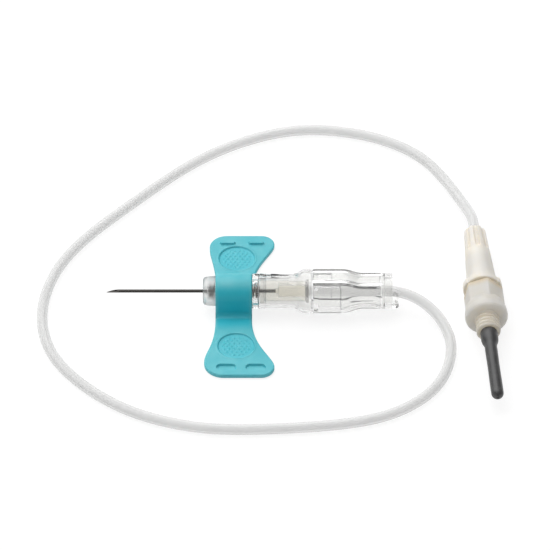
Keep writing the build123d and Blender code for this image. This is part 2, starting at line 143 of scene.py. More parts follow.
# The tube's route, from the carrier's socket round the table and into the luer
TUBE_ROUTE = (
    (5.055, 0.0, 4.4), (23.7, 0.0, 4.4), (28.7, 0.0, 4.4), (33.3, -1.9, 3.7), (37.3, -6.0, 2.2),
    (39.4, -13.0, 1.05), (36.6, -23.8, 1.05), (28.6, -31.4, 1.05), (18.0, -34.8, 1.05),
    (-1.4, -36.3, 1.05), (-12.3, -35.4, 1.05), (-23.4, -31.4, 1.05), (-32.5, -24.3, 1.05),
    (-39.4, -15.2, 1.05), (-41.9, -4.0, 1.05), (-40.1, 8.0, 1.05), (-34.7, 18.5, 1.05),
    (-24.3, 30.5, 1.05), (-13.5, 42.1, 1.05), (-4.2, 48.9, 1.05), (6.1, 53.2, 1.05),
    (15.6, 53.7, 1.05), (26.2, 50.9, 1.05), (34.3, 45.3, 1.05), (39.0, 37.6, 1.2),
    (42.3, 28.9, 2.4), (44.0, 22.45, 4.2), (44.196, 19.26, 4.2), (44.575, 13.069, 4.2),
)


def screen_colour(red, green, blue):
    """The linear colour for a screen colour of 0 to 255 a channel: ((c + 0.055) / 1.055) to the power 2.4."""
    channels = np.array((red, green, blue)) / 255.0
    linear = np.where(channels <= 0.04045, channels / 12.92, ((channels + 0.055) / 1.055) ** 2.4)
    return (float(linear[0]), float(linear[1]), float(linear[2]), 1.0)


def length_setting(name, description, default):
    """A length that the user may change, kept in metres and given here in millimetres."""
    return FloatProperty(name=name, description=description, default=default * MM, min=0.0,
                         precision=5, subtype="DISTANCE", unit="LENGTH")


def colour_setting(name, description, red, green, blue):
    """A colour that the user may change, given as a screen colour."""
    return FloatVectorProperty(name=name, description=description, size=4, min=0.0, max=1.0,
                               default=screen_colour(red, green, blue), subtype="COLOR")


class NeedleSetSizes(bpy.types.PropertyGroup):
    """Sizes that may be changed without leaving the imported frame."""

    needle_diameter: length_setting("Needle Diameter", "Outside of the front cannula", 0.64)
    needle_bore: length_setting("Needle Bore", "Inside of the front cannula", 0.34)
    bevel_angle: FloatProperty(name="Bevel Angle", description="Slope of the needle's first grind",
                               default=radians(12.0), subtype="ANGLE", unit="ROTATION")
    spring_wire: length_setting("Spring Wire", "Thickness of the spring's wire", 0.46)
    spring_diameter: length_setting("Spring Diameter", "Outside of the spring's coil", 2.9)
    spring_turns: IntProperty(name="Spring Turns", description="Turns of the spring", default=10, min=3)
    wing_thickness: length_setting("Wing Thickness", "Thickness of the wings", 0.95)
    wing_edge: length_setting("Wing Edge", "Rounding of the wings' edges", 0.3)
    pad_depth: length_setting("Pad Depth", "Depth of the round finger pads", 0.28)
    bar_height: length_setting("Bar Height", "Height of the bars, and depth of the pockets", 0.45)
    tube_diameter: length_setting("Tube Diameter", "Outside of the tube", 2.1)
    tube_bore: length_setting("Tube Bore", "Inside of the tube", 1.2)
    flute_floor: length_setting("Flute Floor", "Distance of the luer's flutes from its axis", 1.75)
    thread_pitch: length_setting("Thread Pitch", "Rise of the hub's thread in one turn", 0.95)
    thread_depth: length_setting("Thread Depth", "Depth of the hub's thread", 0.32)


class NeedleSetColours(bpy.types.PropertyGroup):
    """Base colours of the finishes."""

    teal: colour_setting("Teal Vinyl", "Wings and saddle", 95, 200, 211)
    teal_deep: colour_setting("Deep Teal", "Denser patches of the wings", 58, 187, 201)
    # Painted shade: the deeper teal laid on the saddle's flanks and in the pads' dishes.
    teal_shade: colour_setting("Thick Teal", "Thick sides of the saddle", 16, 194, 214)
    clear: colour_setting("Clear Plastic", "Housing and levers", 243, 243, 242)
    clear_thick: colour_setting("Thick Clear Plastic", "Housing round the needle's carrier", 238, 238, 237)
    # Painted shade: the grey laid along cut edges and flanges of the clear parts, in place of refraction's
    # dark lines.
    clear_edge_shade: colour_setting("Clear Edges", "Cut edges of the clear plastic", 172, 172, 174)
    hazy: colour_setting("Hazy Plastic", "Carrier", 253, 251, 245)
    vinyl: colour_setting("Clear Vinyl", "Tube", 244, 244, 243)
    ivory: colour_setting("Ivory Plastic", "Luer", 249, 241, 229)
    ivory_deep: colour_setting("Deep Ivory", "Denser patches of the luer", 244, 232, 214)
    frosted: colour_setting("Frosted Plastic", "Adapter hub", 236, 234, 229)
    # Painted shadow by the luer's mouth; also the tan over the thread and in the hub's cloud.
    frosted_tan_and_shadow: colour_setting("Warm Frosted Plastic", "Thick parts of the hub", 238, 212, 172)
    rubber: colour_setting("Dark Rubber", "Sleeve", 45, 45, 46)
    steel: colour_setting("Needle Steel", "Cannulas", 80, 78, 76)
    spring: colour_setting("Spring Steel", "Return spring", 90, 80, 70)
    ink: colour_setting("Mark Ink", "Pointer mark on the housing", 22, 21, 23)
    floor: colour_setting("Floor", "Table under the set", 226, 226, 226)


class NeedleSetStage(bpy.types.PropertyGroup):
    """Camera, lamps and floor."""

    camera_distance: FloatProperty(name="Camera Distance", description="From the camera to its target",
                                   default=0.9, subtype="DISTANCE", unit="LENGTH")
    camera_elevation: FloatProperty(name="Camera Elevation", description="Camera's height as an angle",
                                    default=radians(41.6), subtype="ANGLE", unit="ROTATION")
    camera_lens: FloatProperty(name="Camera Lens", description="Focal length in millimetres", default=299.3)
    floor_size: FloatProperty(name="Floor Size", description="Side of the floor", default=6.0,
                              subtype="DISTANCE", unit="LENGTH")
    back_power: FloatProperty(name="Back Power", description="Power of the lamp at the back", default=16.5)
    top_power: FloatProperty(name="Top Power", description="Power of the lamp overhead", default=4.4)
    sky_strength: FloatProperty(name="Sky Strength", description="Light from all round", default=0.28)


SHARP_DEGREES = 40.0
MERGE_DISTANCE = 1e-8
SIDE_SHARE = 0.45
SIDE_POINT = 1.1


def smooth_step(low, high, value):
    """0 up to low, 1 from high, and 3t^2 - 2t^3 between them."""
    share = np.clip((value - low) / (high - low), 0.0, 1.0)
    return share * share * (3.0 - 2.0 * share)


def cubic(start, first, second, end, count):
    """Points of the cubic with those four control points: the sum of each times its Bernstein weight."""
    share = np.linspace(0.0, 1.0, count)[:, None]
    rest = 1.0 - share
    return (rest ** 3 * np.array(start) + 3 * rest ** 2 * share * np.array(first)
            + 3 * rest * share ** 2 * np.array(second) + share ** 3 * np.array(end))


def s_curve(start, end, count=24):
    """A cubic between two (place, radius) points that runs along the axis at both ends."""
    middle = (start[0] + end[0]) / 2
    return cubic(start, (middle, start[1]), (middle, end[1]), end, count)


def arc(centre, radius, start_degrees, end_degrees, count):
    """Points centre + radius (cos a, sin a) for a from one angle to the other."""
    angle = np.radians(np.linspace(start_degrees, end_degrees, count))
    return np.array(centre) + radius * np.stack([np.cos(angle), np.sin(angle)], axis=-1)


def unit(vectors):
    """Each row divided by its length."""
    return vectors / np.linalg.norm(vectors, axis=1, keepdims=True)


def eased(corners, round_by, steps=5):
    """A closed outline whose corners are swapped for parabolas.

    Each parabola starts and ends round_by along the corner's two sides, or a share of the shorter side where
    that is less, and has the corner as its control point. One more point on each side keeps its shading flat.
    """
    here = np.asarray(corners, float)
    before = np.roll(here, 1, axis=0) - here
    after = np.roll(here, -1, axis=0) - here
    shorter = np.minimum(np.linalg.norm(before, axis=1), np.linalg.norm(after, axis=1))
    reach = np.minimum(round_by, SIDE_SHARE * shorter)[:, None]
    here = here[:, None]
    to_start = (unit(before) * reach)[:, None]
    to_end = (unit(after) * reach)[:, None]
    share = np.linspace(0.0, 1.0, steps)[None, :, None]
    bend = here + (1 - share) ** 2 * to_start + share ** 2 * to_end
    sides = [here + SIDE_POINT * to_start, bend, here + SIDE_POINT * to_end]
    return np.concatenate(sides, axis=1).reshape(-1, 2)


def full_turn(count):
    """Even angles round a full turn."""
    return np.linspace(0.0, 2 * pi, count, endpoint=False)


def around_x(place, radius, angle):
    """Points (place, radius sin a, radius cos a) about X."""
    return np.stack(np.broadcast_arrays(place, radius * np.sin(angle), radius * np.cos(angle)), axis=-1)


def turned(outline, around=128):
    """An outline of (place, radius) points carried round X."""
    return around_x(outline[:, :1], outline[:, 1:], full_turn(around))


def on_axis(grid):
    """Points made round X, lifted to the needle's height."""
    return grid + AXIS_HEIGHT * UP


def on_luer(grid):
    """Points made along X, laid in the luer's place: nose + x along + y across + z up."""
    return LUER_NOSE + grid @ np.stack([LUER_ALONG, LUER_ACROSS, UP])


def grid_faces(rows, columns, close_rows, close_columns):
    """Four-sided faces between neighbours on a grid, also from last to first where a side is closed."""
    row = np.arange(rows if close_rows else rows - 1)[:, None]
    column = np.arange(columns if close_columns else columns - 1)[None, :]
    next_row = (row + 1) % rows
    next_column = (column + 1) % columns
    corners = [row * columns + column, row * columns + next_column,
               next_row * columns + next_column, next_row * columns + column]
    return np.stack(np.broadcast_arrays(*corners), axis=-1).reshape(-1, 4)


def facing_out(points, faces):
    """The faces, all turned round if the volume under them, a sum of corner products, comes out negative."""
    a, b, c, d = (points[faces[:, corner]] for corner in range(4))
    volume = np.sum(np.cross(a, b) * c) + np.sum(np.cross(a, c) * d)
    return faces if volume > 0 else faces[:, ::-1]


def fill_mesh(name, points, faces):
    """A mesh from arrays of points, in millimetres, and four-sided faces."""
    faces = facing_out(points, faces)
    mesh = bpy.data.meshes.new(name)
    mesh.vertices.add(len(points))
    mesh.vertices.foreach_set("co", (points * MM).astype(np.float32).ravel())
    mesh.loops.add(faces.size)
    mesh.loops.foreach_set("vertex_index", faces.astype(np.int32).ravel())
    mesh.polygons.add(len(faces))
    mesh.polygons.foreach_set("loop_start", np.arange(0, faces.size, 4, dtype=np.int32))
    mesh.update(calc_edges=True)
    mesh.validate()
    return mesh


def smooth_edges(mesh, sharp_degrees=SHARP_DEGREES):
    """Shade a mesh smooth but for edges over the angle."""
    mesh.polygons.foreach_set("use_smooth", np.ones(len(mesh.polygons), dtype=bool))
    mesh.set_sharp_from_angle(angle=radians(sharp_degrees))
    mesh.update()


def add_object(name, data):
    """A new object in the scene's collection."""
    made = bpy.data.objects.new(name, data)
    bpy.context.collection.objects.link(made)
    return made


def add_piece(name, points, faces, sharp_degrees=SHARP_DEGREES):
    """A new object at the origin; points that coincide are merged, and edges over the angle stay sharp."""
    mesh = fill_mesh(name, points, faces)
    shape = bmesh.new()
    shape.from_mesh(mesh)
    bmesh.ops.remove_doubles(shape, verts=shape.verts, dist=MERGE_DISTANCE)
    shape.to_mesh(mesh)
    shape.free()
    smooth_edges(mesh, sharp_degrees)
    return add_object(name, mesh)


def add_grid(name, grid, close_rows=True, sharp_degrees=SHARP_DEGREES):
    """A piece from one grid of points, whose rows are closed loops."""
    faces = grid_faces(*grid.shape[:2], close_rows, True)
    return add_piece(name, grid.reshape(-1, 3), faces, sharp_degrees)


def box_piece(name, low, high):
    """A box between two corners, used to cut other pieces: corner k takes bit 0, 1 and 2 for x, y and z."""
    number = np.arange(8)
    bits = np.stack([number & 1, number >> 1 & 1, number >> 2 & 1], axis=-1)
    points = np.where(bits == 1, np.array(high, float), np.array(low, float))
    faces = np.array([[0, 2, 3, 1], [4, 5, 7, 6], [0, 1, 5, 4], [2, 6, 7, 3], [0, 4, 6, 2], [1, 3, 7, 5]])
    return add_piece(name, points, faces)


def finished_mesh(holder):
    """A mesh of an object as its modifiers or its curve make it."""
    bpy.context.view_layer.update()
    return bpy.data.meshes.new_from_object(holder.evaluated_get(bpy.context.evaluated_depsgraph_get()))


def combine(piece, others, operation):
    """Cut the other pieces from a piece or join them to it, and remove them."""
    for other in others:
        step = piece.modifiers.new(other.name, "BOOLEAN")
        step.operation = operation
        step.solver = "EXACT"
        step.object = other
    mesh = finished_mesh(piece)
    piece.modifiers.clear()
    piece.data = mesh
    smooth_edges(mesh)
    for other in others:
        bpy.data.objects.remove(other)


# The frame brings materials with the slots' own names, so the finishes made here end in this.
LOOK = "_look"
EVEN = (1.0, 1.0, 1.0)
MILLIMETRES = (1 / MM, 1 / MM, 1 / MM)
MICRON = 1e-6


def maths_method(operation, reflected=False):
    """A method of Wire that adds one Math node; a reflected one puts the other value first."""
    def method(self, other=0.0):
        values = (other, self) if reflected else (self, other)
        return self.nodes.node("ShaderNodeMath", {"operation": operation}, dict(enumerate(values)))
    return method


class Wire:
    """A node's output that takes part in sums: each operation adds a Math node to its tree."""

    def __init__(self, nodes, socket):
        self.nodes = nodes
        self.socket = socket

    __add__ = maths_method("ADD")
    __radd__ = maths_method("ADD", True)
    __sub__ = maths_method("SUBTRACT")
    __rsub__ = maths_method("SUBTRACT", True)
    __mul__ = maths_method("MULTIPLY")
    __rmul__ = maths_method("MULTIPLY", True)
    __pow__ = maths_method("POWER")
    __rpow__ = maths_method("POWER", True)
    __abs__ = maths_method("ABSOLUTE")
    larger = maths_method("MAXIMUM")


class Nodes:
    """A node tree under construction."""

    def __init__(self, tree):
        self.tree = tree

    def fill(self, socket, value):
        """Link a wire to a socket, or set the socket's own value."""
        if isinstance(value, Wire):
            self.tree.links.new(value.socket, socket)
        else:
            socket.default_value = value

    def node(self, kind, settings, sockets, output=0):
        """A node of that type, with its settings made first and its sockets filled; returns one output."""
        made = self.tree.nodes.new(kind)
        for key, value in settings.items():
            setattr(made, key, value)
        for key, value in sockets.items():
            self.fill(made.inputs[key], value)
        return Wire(self, made.outputs[output])

    def ray(self, kind):
        """1 for rays of that kind and 0 for others."""
        return self.node("ShaderNodeLightPath", {}, {}, "Is " + kind + " Ray")


class Finish(Nodes):
    """A material under construction: its shader, and the nodes that feed it."""

    def __init__(self, name, fixed):
        self.material = bpy.data.materials.new(name + LOOK)
        self.material.use_nodes = True
        super().__init__(self.material.node_tree)
        self.shader = self.tree.nodes["Principled BSDF"]
        for socket, value in fixed.items():
            self.fill(self.shader.inputs[socket], value)

    def places(self, stretch=EVEN):
        """The object's own coordinates, each times its stretch."""
        here = self.node("ShaderNodeTexCoord", {}, {}, "Object")
        return self.node("ShaderNodeMapping", {}, {"Vector": here, "Scale": stretch})

    def along(self, axis):
        """The object's own coordinate along one axis, in millimetres."""
        return self.node("ShaderNodeSeparateXYZ", {}, {"Vector": self.places(MILLIMETRES)}, axis)

    def measure(self, operation, vector):
        """The coordinates' product with a vector, or their distance from it, in millimetres."""
        values = {0: self.places(MILLIMETRES), 1: tuple(vector)}
        return self.node("ShaderNodeVectorMath", {"operation": operation}, values, "Value")

    def noise(self, per_metre, detail=3.0, rough=0.55, stretch=EVEN):
        """Cloudy noise from 0 to 1 with that many features in a metre."""
        return self.node("ShaderNodeTexNoise", {}, {
            "Vector": self.places(stretch), "Scale": per_metre, "Detail": detail, "Roughness": rough})

    def ramp(self, value, low, high):
        """A smooth step from 0 at low to 1 at high."""
        return self.node("ShaderNodeMapRange", {"interpolation_type": "SMOOTHSTEP"}, {
            "Value": value, "From Min": low, "From Max": high})

    def band(self, value, middle, half):
        """1 near the middle value, falling to 0 at half away from it."""
        return 1.0 - self.ramp(abs(value - middle), 0.4 * half, half)

    def mix(self, share, first, second):
        """The first colour at share 0 and the second at share 1."""
        return self.node("ShaderNodeMix", {"data_type": "RGBA"}, {0: share, 6: first, 7: second}, 2)

    def bump(self, height, microns, strength):
        """Feed the shader's Normal from a height."""
        self.feed("Normal", self.node("ShaderNodeBump", {}, {
            "Height": height, "Distance": microns * MICRON, "Strength": strength}))

    def feed(self, socket, wire):
        """Link a value that changes over the surface to the shader."""
        self.fill(self.shader.inputs[socket], wire)


def milky(weight, depth, radius):
    """Fixed values of a plastic that light sinks into, with the depth in metres."""
    return {"Subsurface Weight": weight, "Subsurface Scale": depth, "Subsurface Radius": radius}


def teal_vinyl(colours):
    """Soft moulded vinyl: cloudy teal with a matt grain, with painted shade laid on as a deeper teal in the
    pads' dishes and on the saddle's flanks.
    """
    finish = Finish("teal_vinyl", {
        "IOR": 1.46, "Specular IOR Level": 0.75, **milky(0.12, 0.0012, (0.35, 0.8, 1.0))})
    cloud = finish.ramp(finish.noise(260.0, 4.0), 0.32, 0.7)
    streak = finish.noise(420.0, 2.0, 0.5, (1.0, 0.18, 1.0))
    grain = finish.noise(6500.0, 2.0, 0.6)
    speck = finish.ramp(finish.noise(2100.0, 2.0), 0.66, 0.74)
    # Painted shade: the saddle's flanks, away from its top, and the pads' dishes take a deeper teal; the
    # shade is left off at the saddle's front and rear ends.
    across = abs(finish.along("Y"))
    rim = finish.ramp(abs(finish.along("X") - SADDLE_X), 2.7, 3.6)
    flank_shade = finish.ramp(across, 1.4, 3.0) * (1.0 - finish.ramp(across, 5.2, 8.2)) * (1.0 - rim * 0.8)
    pads = []
    for side, shape in WING_SHAPES.items():
        away = finish.measure("DISTANCE", (SADDLE_X + PAD_X, side * shape["pad_y"], PAD_HEIGHT))
        pads.append(1.0 - finish.ramp(away, PAD_RADIUS - 0.2, PAD_RADIUS + 0.1))
    tone = finish.mix(cloud * 0.45 + streak * 0.25, colours.teal, colours.teal_deep)
    tone = finish.mix(sum(pads) * 0.3 + flank_shade * 0.85, tone, colours.teal_shade)
    finish.feed("Base Color", finish.mix(speck * 0.04, tone, screen_colour(150, 226, 236)))
    finish.feed("Roughness", 0.42 + grain * 0.14 + cloud * 0.06)
    finish.bump(grain * 0.7 + streak * 0.3, 30, 0.35)
    return finish.material


def clear_plastic(colours):
    """Glassy moulding with faint flow waves, fine scuffs, a little haze, and painted shade in grey along its
    cut edges, where refraction draws dark lines.

    The painted edge shade is bands about the ends of the windows, the slots beside the spines, the ends of
    the levers' blocks and the steps of the rim.
    """
    finish = Finish("clear_plastic", {"Transmission Weight": 0.93, "IOR": 1.49})
    x = finish.along("X")
    y = finish.along("Y")
    in_window = finish.ramp(x, WINDOW_START_X, LEVER_START_X)
    in_window = in_window * (1.0 - finish.ramp(x, LEVER_END_X, WINDOW_END_X))
    # Painted shade: grey bands at the cut edges stand in for the dark lines that refraction draws there.
    ends = finish.band(x, WINDOW_START_X + 0.15, 0.3) + finish.band(x, WINDOW_END_X - 0.15, 0.26) * 0.4
    slots = finish.band(abs(y), (SPINE_HALF_WIDTH + LEVER_EDGE_Y) / 2, 0.5) * in_window
    blocks = finish.band(x, NEAR_BLOCK_END_X, 0.2) * finish.ramp(0.0 - y, 1.5, 1.9)
    blocks = blocks + finish.band(x, FAR_BLOCK_END_X, 0.2) * finish.ramp(y, 1.5, 1.9)
    steps = finish.band(x, RIM_END_X, 0.16) + finish.band(x, NECK_END_X, 0.16)
    edge = ends * 0.6 + slots * 0.3 + blocks * 0.5 + steps * 0.3
    haze = finish.noise(700.0, 4.0)
    scuff = finish.ramp(finish.noise(2600.0, 3.0, 0.6, (0.25, 1.0, 1.0)), 0.6, 0.76)
    flow = finish.noise(330.0, 2.0, 0.5, (0.4, 1.0, 1.0))
    cloudy = 1.0 - finish.ramp(x, FLARE_START_X, BULGE_START_X)
    barrel = cloudy * finish.ramp(x, NECK_END_X, RIM_END_X)
    foggy = 1.0 - finish.ramp(x, NECK_START_X, NECK_START_X + 0.6)
    tone = finish.mix(barrel * 0.75 + haze * 0.25, colours.clear, colours.clear_thick)
    finish.feed("Base Color", finish.mix(edge, tone, colours.clear_edge_shade))
    finish.feed("Roughness", 0.004 + cloudy * 0.09 + foggy * 0.25 + haze * 0.006 + scuff * 0.03)
    finish.bump(flow + scuff * 0.03, 20, 0.15)
    return finish.material


def hazy_plastic(colours):
    """Clear moulding that is cloudy with glue and thickness, faintly cream, with painted shade in grey at its
    flanges, where refraction draws dark lines.
    """
    finish = Finish("hazy_plastic", {"Transmission Weight": 1.0, "IOR": 1.25})
    x = finish.along("X")
    # Painted shade: grey bands at the rear flange and the guide stand in for refraction's dark lines there.
    edge = finish.band(x, CARRIER_END_X - 0.25, 0.5) * 0.7 + finish.band(x, GUIDE_X + 0.35, 0.6) * 0.3
    haze = finish.noise(900.0, 4.0)
    flow = finish.noise(500.0, 2.0, 0.5, (0.4, 1.0, 1.0))
    tone = finish.mix(haze * 0.6, colours.hazy, screen_colour(249, 245, 234))
    finish.feed("Base Color", finish.mix(edge, tone, colours.clear_edge_shade))
    finish.feed("Roughness", 0.22 + haze * 0.06)
    finish.bump(flow, 30, 0.2)
    return finish.material


def clear_vinyl(colours):
    """Soft clear tube with a haze, denser towards its edges and thinner in the housing and the carrier.

    The straight run through the housing is the part of the tube that is high and near the middle.
    """
    finish = Finish("clear_vinyl", {"IOR": 1.45})
    x = finish.along("X")
    high = finish.ramp(finish.along("Z"), 3.0, 3.2)
    straight_run = high * (1.0 - finish.ramp(abs(finish.along("Y")), 1.3, 1.5))
    glued = 1.0 - finish.ramp(x, CARRIER_END_X - 0.1, CARRIER_END_X)
    housed = 1.0 - finish.ramp(x, RING_START_X, LIP_END_X + 1.0)
    edge = finish.node("ShaderNodeLayerWeight", {}, {"Blend": 0.5}, "Facing") ** 2.0
    body = 0.3 + edge * 0.4
    haze = finish.noise(160.0, 3.0)
    grain = finish.noise(2500.0, 2.0)
    finish.feed("Alpha", body * (1.0 - straight_run * (housed * 0.45 + glued * 0.55)))
    finish.feed("Base Color", finish.mix(haze * 0.5, colours.vinyl, screen_colour(232, 232, 232)))
    finish.feed("Roughness", 0.15 + haze * 0.06 + grain * 0.02)
    return finish.material


def ivory_plastic(colours):
    """Moulded ivory plastic: cloudy tone, streaks along the luer and a satin grain."""
    finish = Finish("ivory_plastic", {"IOR": 1.48, **milky(0.6, 0.003, (1.0, 0.9, 0.7))})
    cloud = finish.ramp(finish.noise(320.0, 3.0), 0.3, 0.72)
    streak = finish.noise(900.0, 3.0, 0.55, (1.0, 0.12, 1.0))
    grain = finish.noise(7000.0, 2.0)
    finish.feed("Base Color", finish.mix(cloud * 0.4 + streak * 0.3, colours.ivory, colours.ivory_deep))
    finish.feed("Roughness", 0.3 + grain * 0.12 + cloud * 0.05)
    finish.bump(grain * 0.6 + streak * 0.4, 20, 0.3)
    return finish.material


def frosted_plastic(colours):
    """Milky plastic that turns tan by the luer's mouth, as painted shadow of the gap there, and round the
    thread.

    The distance along the luer is the coordinates times its direction, less the nose's share.
    """
    finish = Finish("frosted_plastic", {"IOR": 1.48, "Alpha": 0.8, **milky(1.0, 0.004, (1.0, 0.95, 0.85))})
    place = finish.measure("DOT_PRODUCT", LUER_ALONG) - float(LUER_NOSE @ LUER_ALONG)
    cloud = finish.noise(420.0, 3.0)
    grain = finish.noise(5200.0, 2.0)
    # Painted shadow: the tan band just behind the luer's mouth stands in for the shade in the gap between the
    # luer and the hub; the tan also covers the hub from the thread back, and comes and goes with the cloud.
    mouth = finish.ramp(place, 17.4, 18.1) * (1.0 - finish.ramp(place, 18.1, 20.0))
    thread = finish.ramp(place, 26.1, 27.2)
    tan_and_shadow = mouth * 0.8 + thread * 0.4 + cloud * 0.15
    finish.feed("Base Color", finish.mix(tan_and_shadow, colours.frosted, colours.frosted_tan_and_shadow))
    finish.feed("Roughness", 0.28 + grain * 0.12 + cloud * 0.08)
    finish.bump(grain * 0.5 + cloud * 0.5, 20, 0.3)
    return finish.material


def dark_rubber(colours):
    """Moulded rubber: fine pits and a dusty bloom."""
    finish = Finish("dark_rubber", {"IOR": 1.52, "Specular IOR Level": 0.8})
    bloom = finish.ramp(finish.noise(520.0, 4.0), 0.4, 0.8)
    pits = finish.noise(5600.0, 3.0, 0.65)
    finish.feed("Base Color", finish.mix(bloom * 0.35, colours.rubber, screen_colour(88, 88, 88)))
    finish.feed("Roughness", 0.36 + pits * 0.14 + bloom * 0.1)
    finish.bump(pits, 30, 0.4)
    return finish.material


def drawn_steel(name, colour, polish, stretch):
    """Drawn steel: fine lines, stretched along the wire, and roughness that follows them."""
    finish = Finish(name, {"Metallic": 1.0})
    lines = finish.noise(5000.0, 3.0, 0.6, stretch)
    stain = finish.noise(600.0, 3.0)
    finish.feed("Base Color", finish.mix(stain * 0.5, colour, screen_colour(58, 55, 52)))
    finish.feed("Roughness", polish + lines * 0.16 + stain * 0.08)
    finish.bump(lines, 8, 0.3)
    return finish.material


def needle_steel(colours):
    """Polished steel, drawn along X."""
    return drawn_steel("needle_steel", colours.steel, 0.2, (0.03, 1.0, 1.0))


def spring_steel(colours):
    """Coiled wire, duller than the needles."""
    return drawn_steel("spring_steel", colours.spring, 0.26, EVEN)


def mark_ink(colours):
    """Printed ink, a little patchy."""
    finish = Finish("mark_ink", {"IOR": 1.45, "Specular IOR Level": 0.1})
    patch = finish.noise(2400.0, 3.0)
    finish.feed("Base Color", finish.mix(patch * 0.4, colours.ink, screen_colour(40, 39, 42)))
    finish.feed("Roughness", 0.4 + patch * 0.2)
    return finish.material


FINISHES = {maker.__name__: maker for maker in (
    teal_vinyl, clear_plastic, hazy_plastic, clear_vinyl, ivory_plastic, frosted_plastic, dark_rubber,
    needle_steel, spring_steel, mark_ink)}


def finish_of(name):
    """The named finish, made the first time that a piece asks for it."""
    found = bpy.data.materials.get(name + LOOK)
    return found or FINISHES[name](bpy.context.scene.needle_set_colours)


def settle(piece, finish, body, *nodes):
    """Give a piece its finish, let it ride on its body and stand for its nodes."""
    piece.data.materials.clear()
    piece.data.materials.append(finish_of(finish))
    if body:
        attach(piece, body)
    if nodes:
        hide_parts(*nodes)
    return piece


LANCET_ANGLE = radians(18.0)
LANCET_TURN = radians(35.0)


def cannula_grid(length, radius, bore, bevel):
    """A ground cannula along X from its point at 0.

    Round angle a the wall starts where the highest of three grinds leaves it: (z + radius) / tan(bevel), and
    two lancet grinds turned to the sides. The loop runs back along the outside and forward along the bore.
    """
    angle = full_turn(64)
    setback = radius * (1 - cos(LANCET_TURN)) / tan(LANCET_ANGLE)
    share = np.linspace(0.0, 1.0, 14)[:, None] ** 2
    rows = []
    for wall, order in ((radius, share), (bore, share[::-1])):
        across = wall * np.sin(angle)
        up = wall * np.cos(angle)
        grinds = [(up + radius) / tan(bevel)]
        for turn in (LANCET_TURN, -LANCET_TURN):
            grinds.append((up * cos(turn) - across * sin(turn) + radius) / tan(LANCET_ANGLE) - setback)
        start = np.max(grinds, axis=0)
        rows.append(around_x(start + (length - start) * order, wall, angle))
    return np.concatenate(rows)


class NEEDLESET_OT_cannula(bpy.types.Operator):
    """Draw the front cannula with its lancet point"""

    bl_idname = "needle_set.cannula"
    bl_label = "Cannula"

    def execute(self, context):
        sizes = context.scene.needle_set_sizes
        grid = cannula_grid(NEEDLE_END_X - TIP_X, sizes.needle_diameter / MM / 2,
                            sizes.needle_bore / MM / 2, sizes.bevel_angle)
        grid = on_axis(grid + np.array((TIP_X, 0.0, 0.0)))
        piece = add_grid("steel_cannula", grid, sharp_degrees=25.0)
        settle(piece, "needle_steel", "needle_line", "needle_cannula")
        for place in bpy.data.objects["adapter_needle"].material_slots:
            place.material = finish_of("needle_steel")
        return {"FINISHED"}


GUIDE_START_X = -0.445
GUIDE_RADIUS = 0.91
FLANGE_END_X = 2.255
FLANGE_RADIUS = 2.5
CARRIER_RADIUS = 2.0
REAR_FLANGE_X = 10.555
REAR_FLANGE_RADIUS = 2.3
TUBE_SOCKET_RADIUS = 1.07
NEEDLE_SEAT_RADIUS = 0.4
NEEDLE_GRIP_RADIUS = 0.34
CARRIER_ROUNDING = 0.12


class NEEDLESET_OT_carrier(bpy.types.Operator):
    """Draw the clear carrier that holds the needle and the tube"""

    bl_idname = "needle_set.carrier"
    bl_label = "Carrier"

    def execute(self, context):
        corners = [
            (GUIDE_START_X, NEEDLE_GRIP_RADIUS), (GUIDE_START_X, GUIDE_RADIUS), (GUIDE_X, GUIDE_RADIUS),
            (GUIDE_X, FLANGE_RADIUS), (FLANGE_END_X, FLANGE_RADIUS), (FLANGE_END_X, CARRIER_RADIUS),
            (REAR_FLANGE_X, CARRIER_RADIUS), (REAR_FLANGE_X, REAR_FLANGE_RADIUS),
            (CARRIER_END_X, REAR_FLANGE_RADIUS), (CARRIER_END_X, TUBE_SOCKET_RADIUS),
            (TUBE_START_X, TUBE_SOCKET_RADIUS), (TUBE_START_X, NEEDLE_SEAT_RADIUS),
            (NEEDLE_END_X, NEEDLE_SEAT_RADIUS), (NEEDLE_END_X, NEEDLE_GRIP_RADIUS),
        ]
        piece = add_grid("sliding_carrier", on_axis(turned(eased(corners, CARRIER_ROUNDING))))
        settle(piece, "hazy_plastic", "needle_line", "needle_carrier")
        return {"FINISHED"}


NOSE_WALL = 1.0
SPRING_PLAY = 0.02
END_CLOSING = 0.7
WIRE_FLATNESS = 0.6
WIRE_END = 0.8


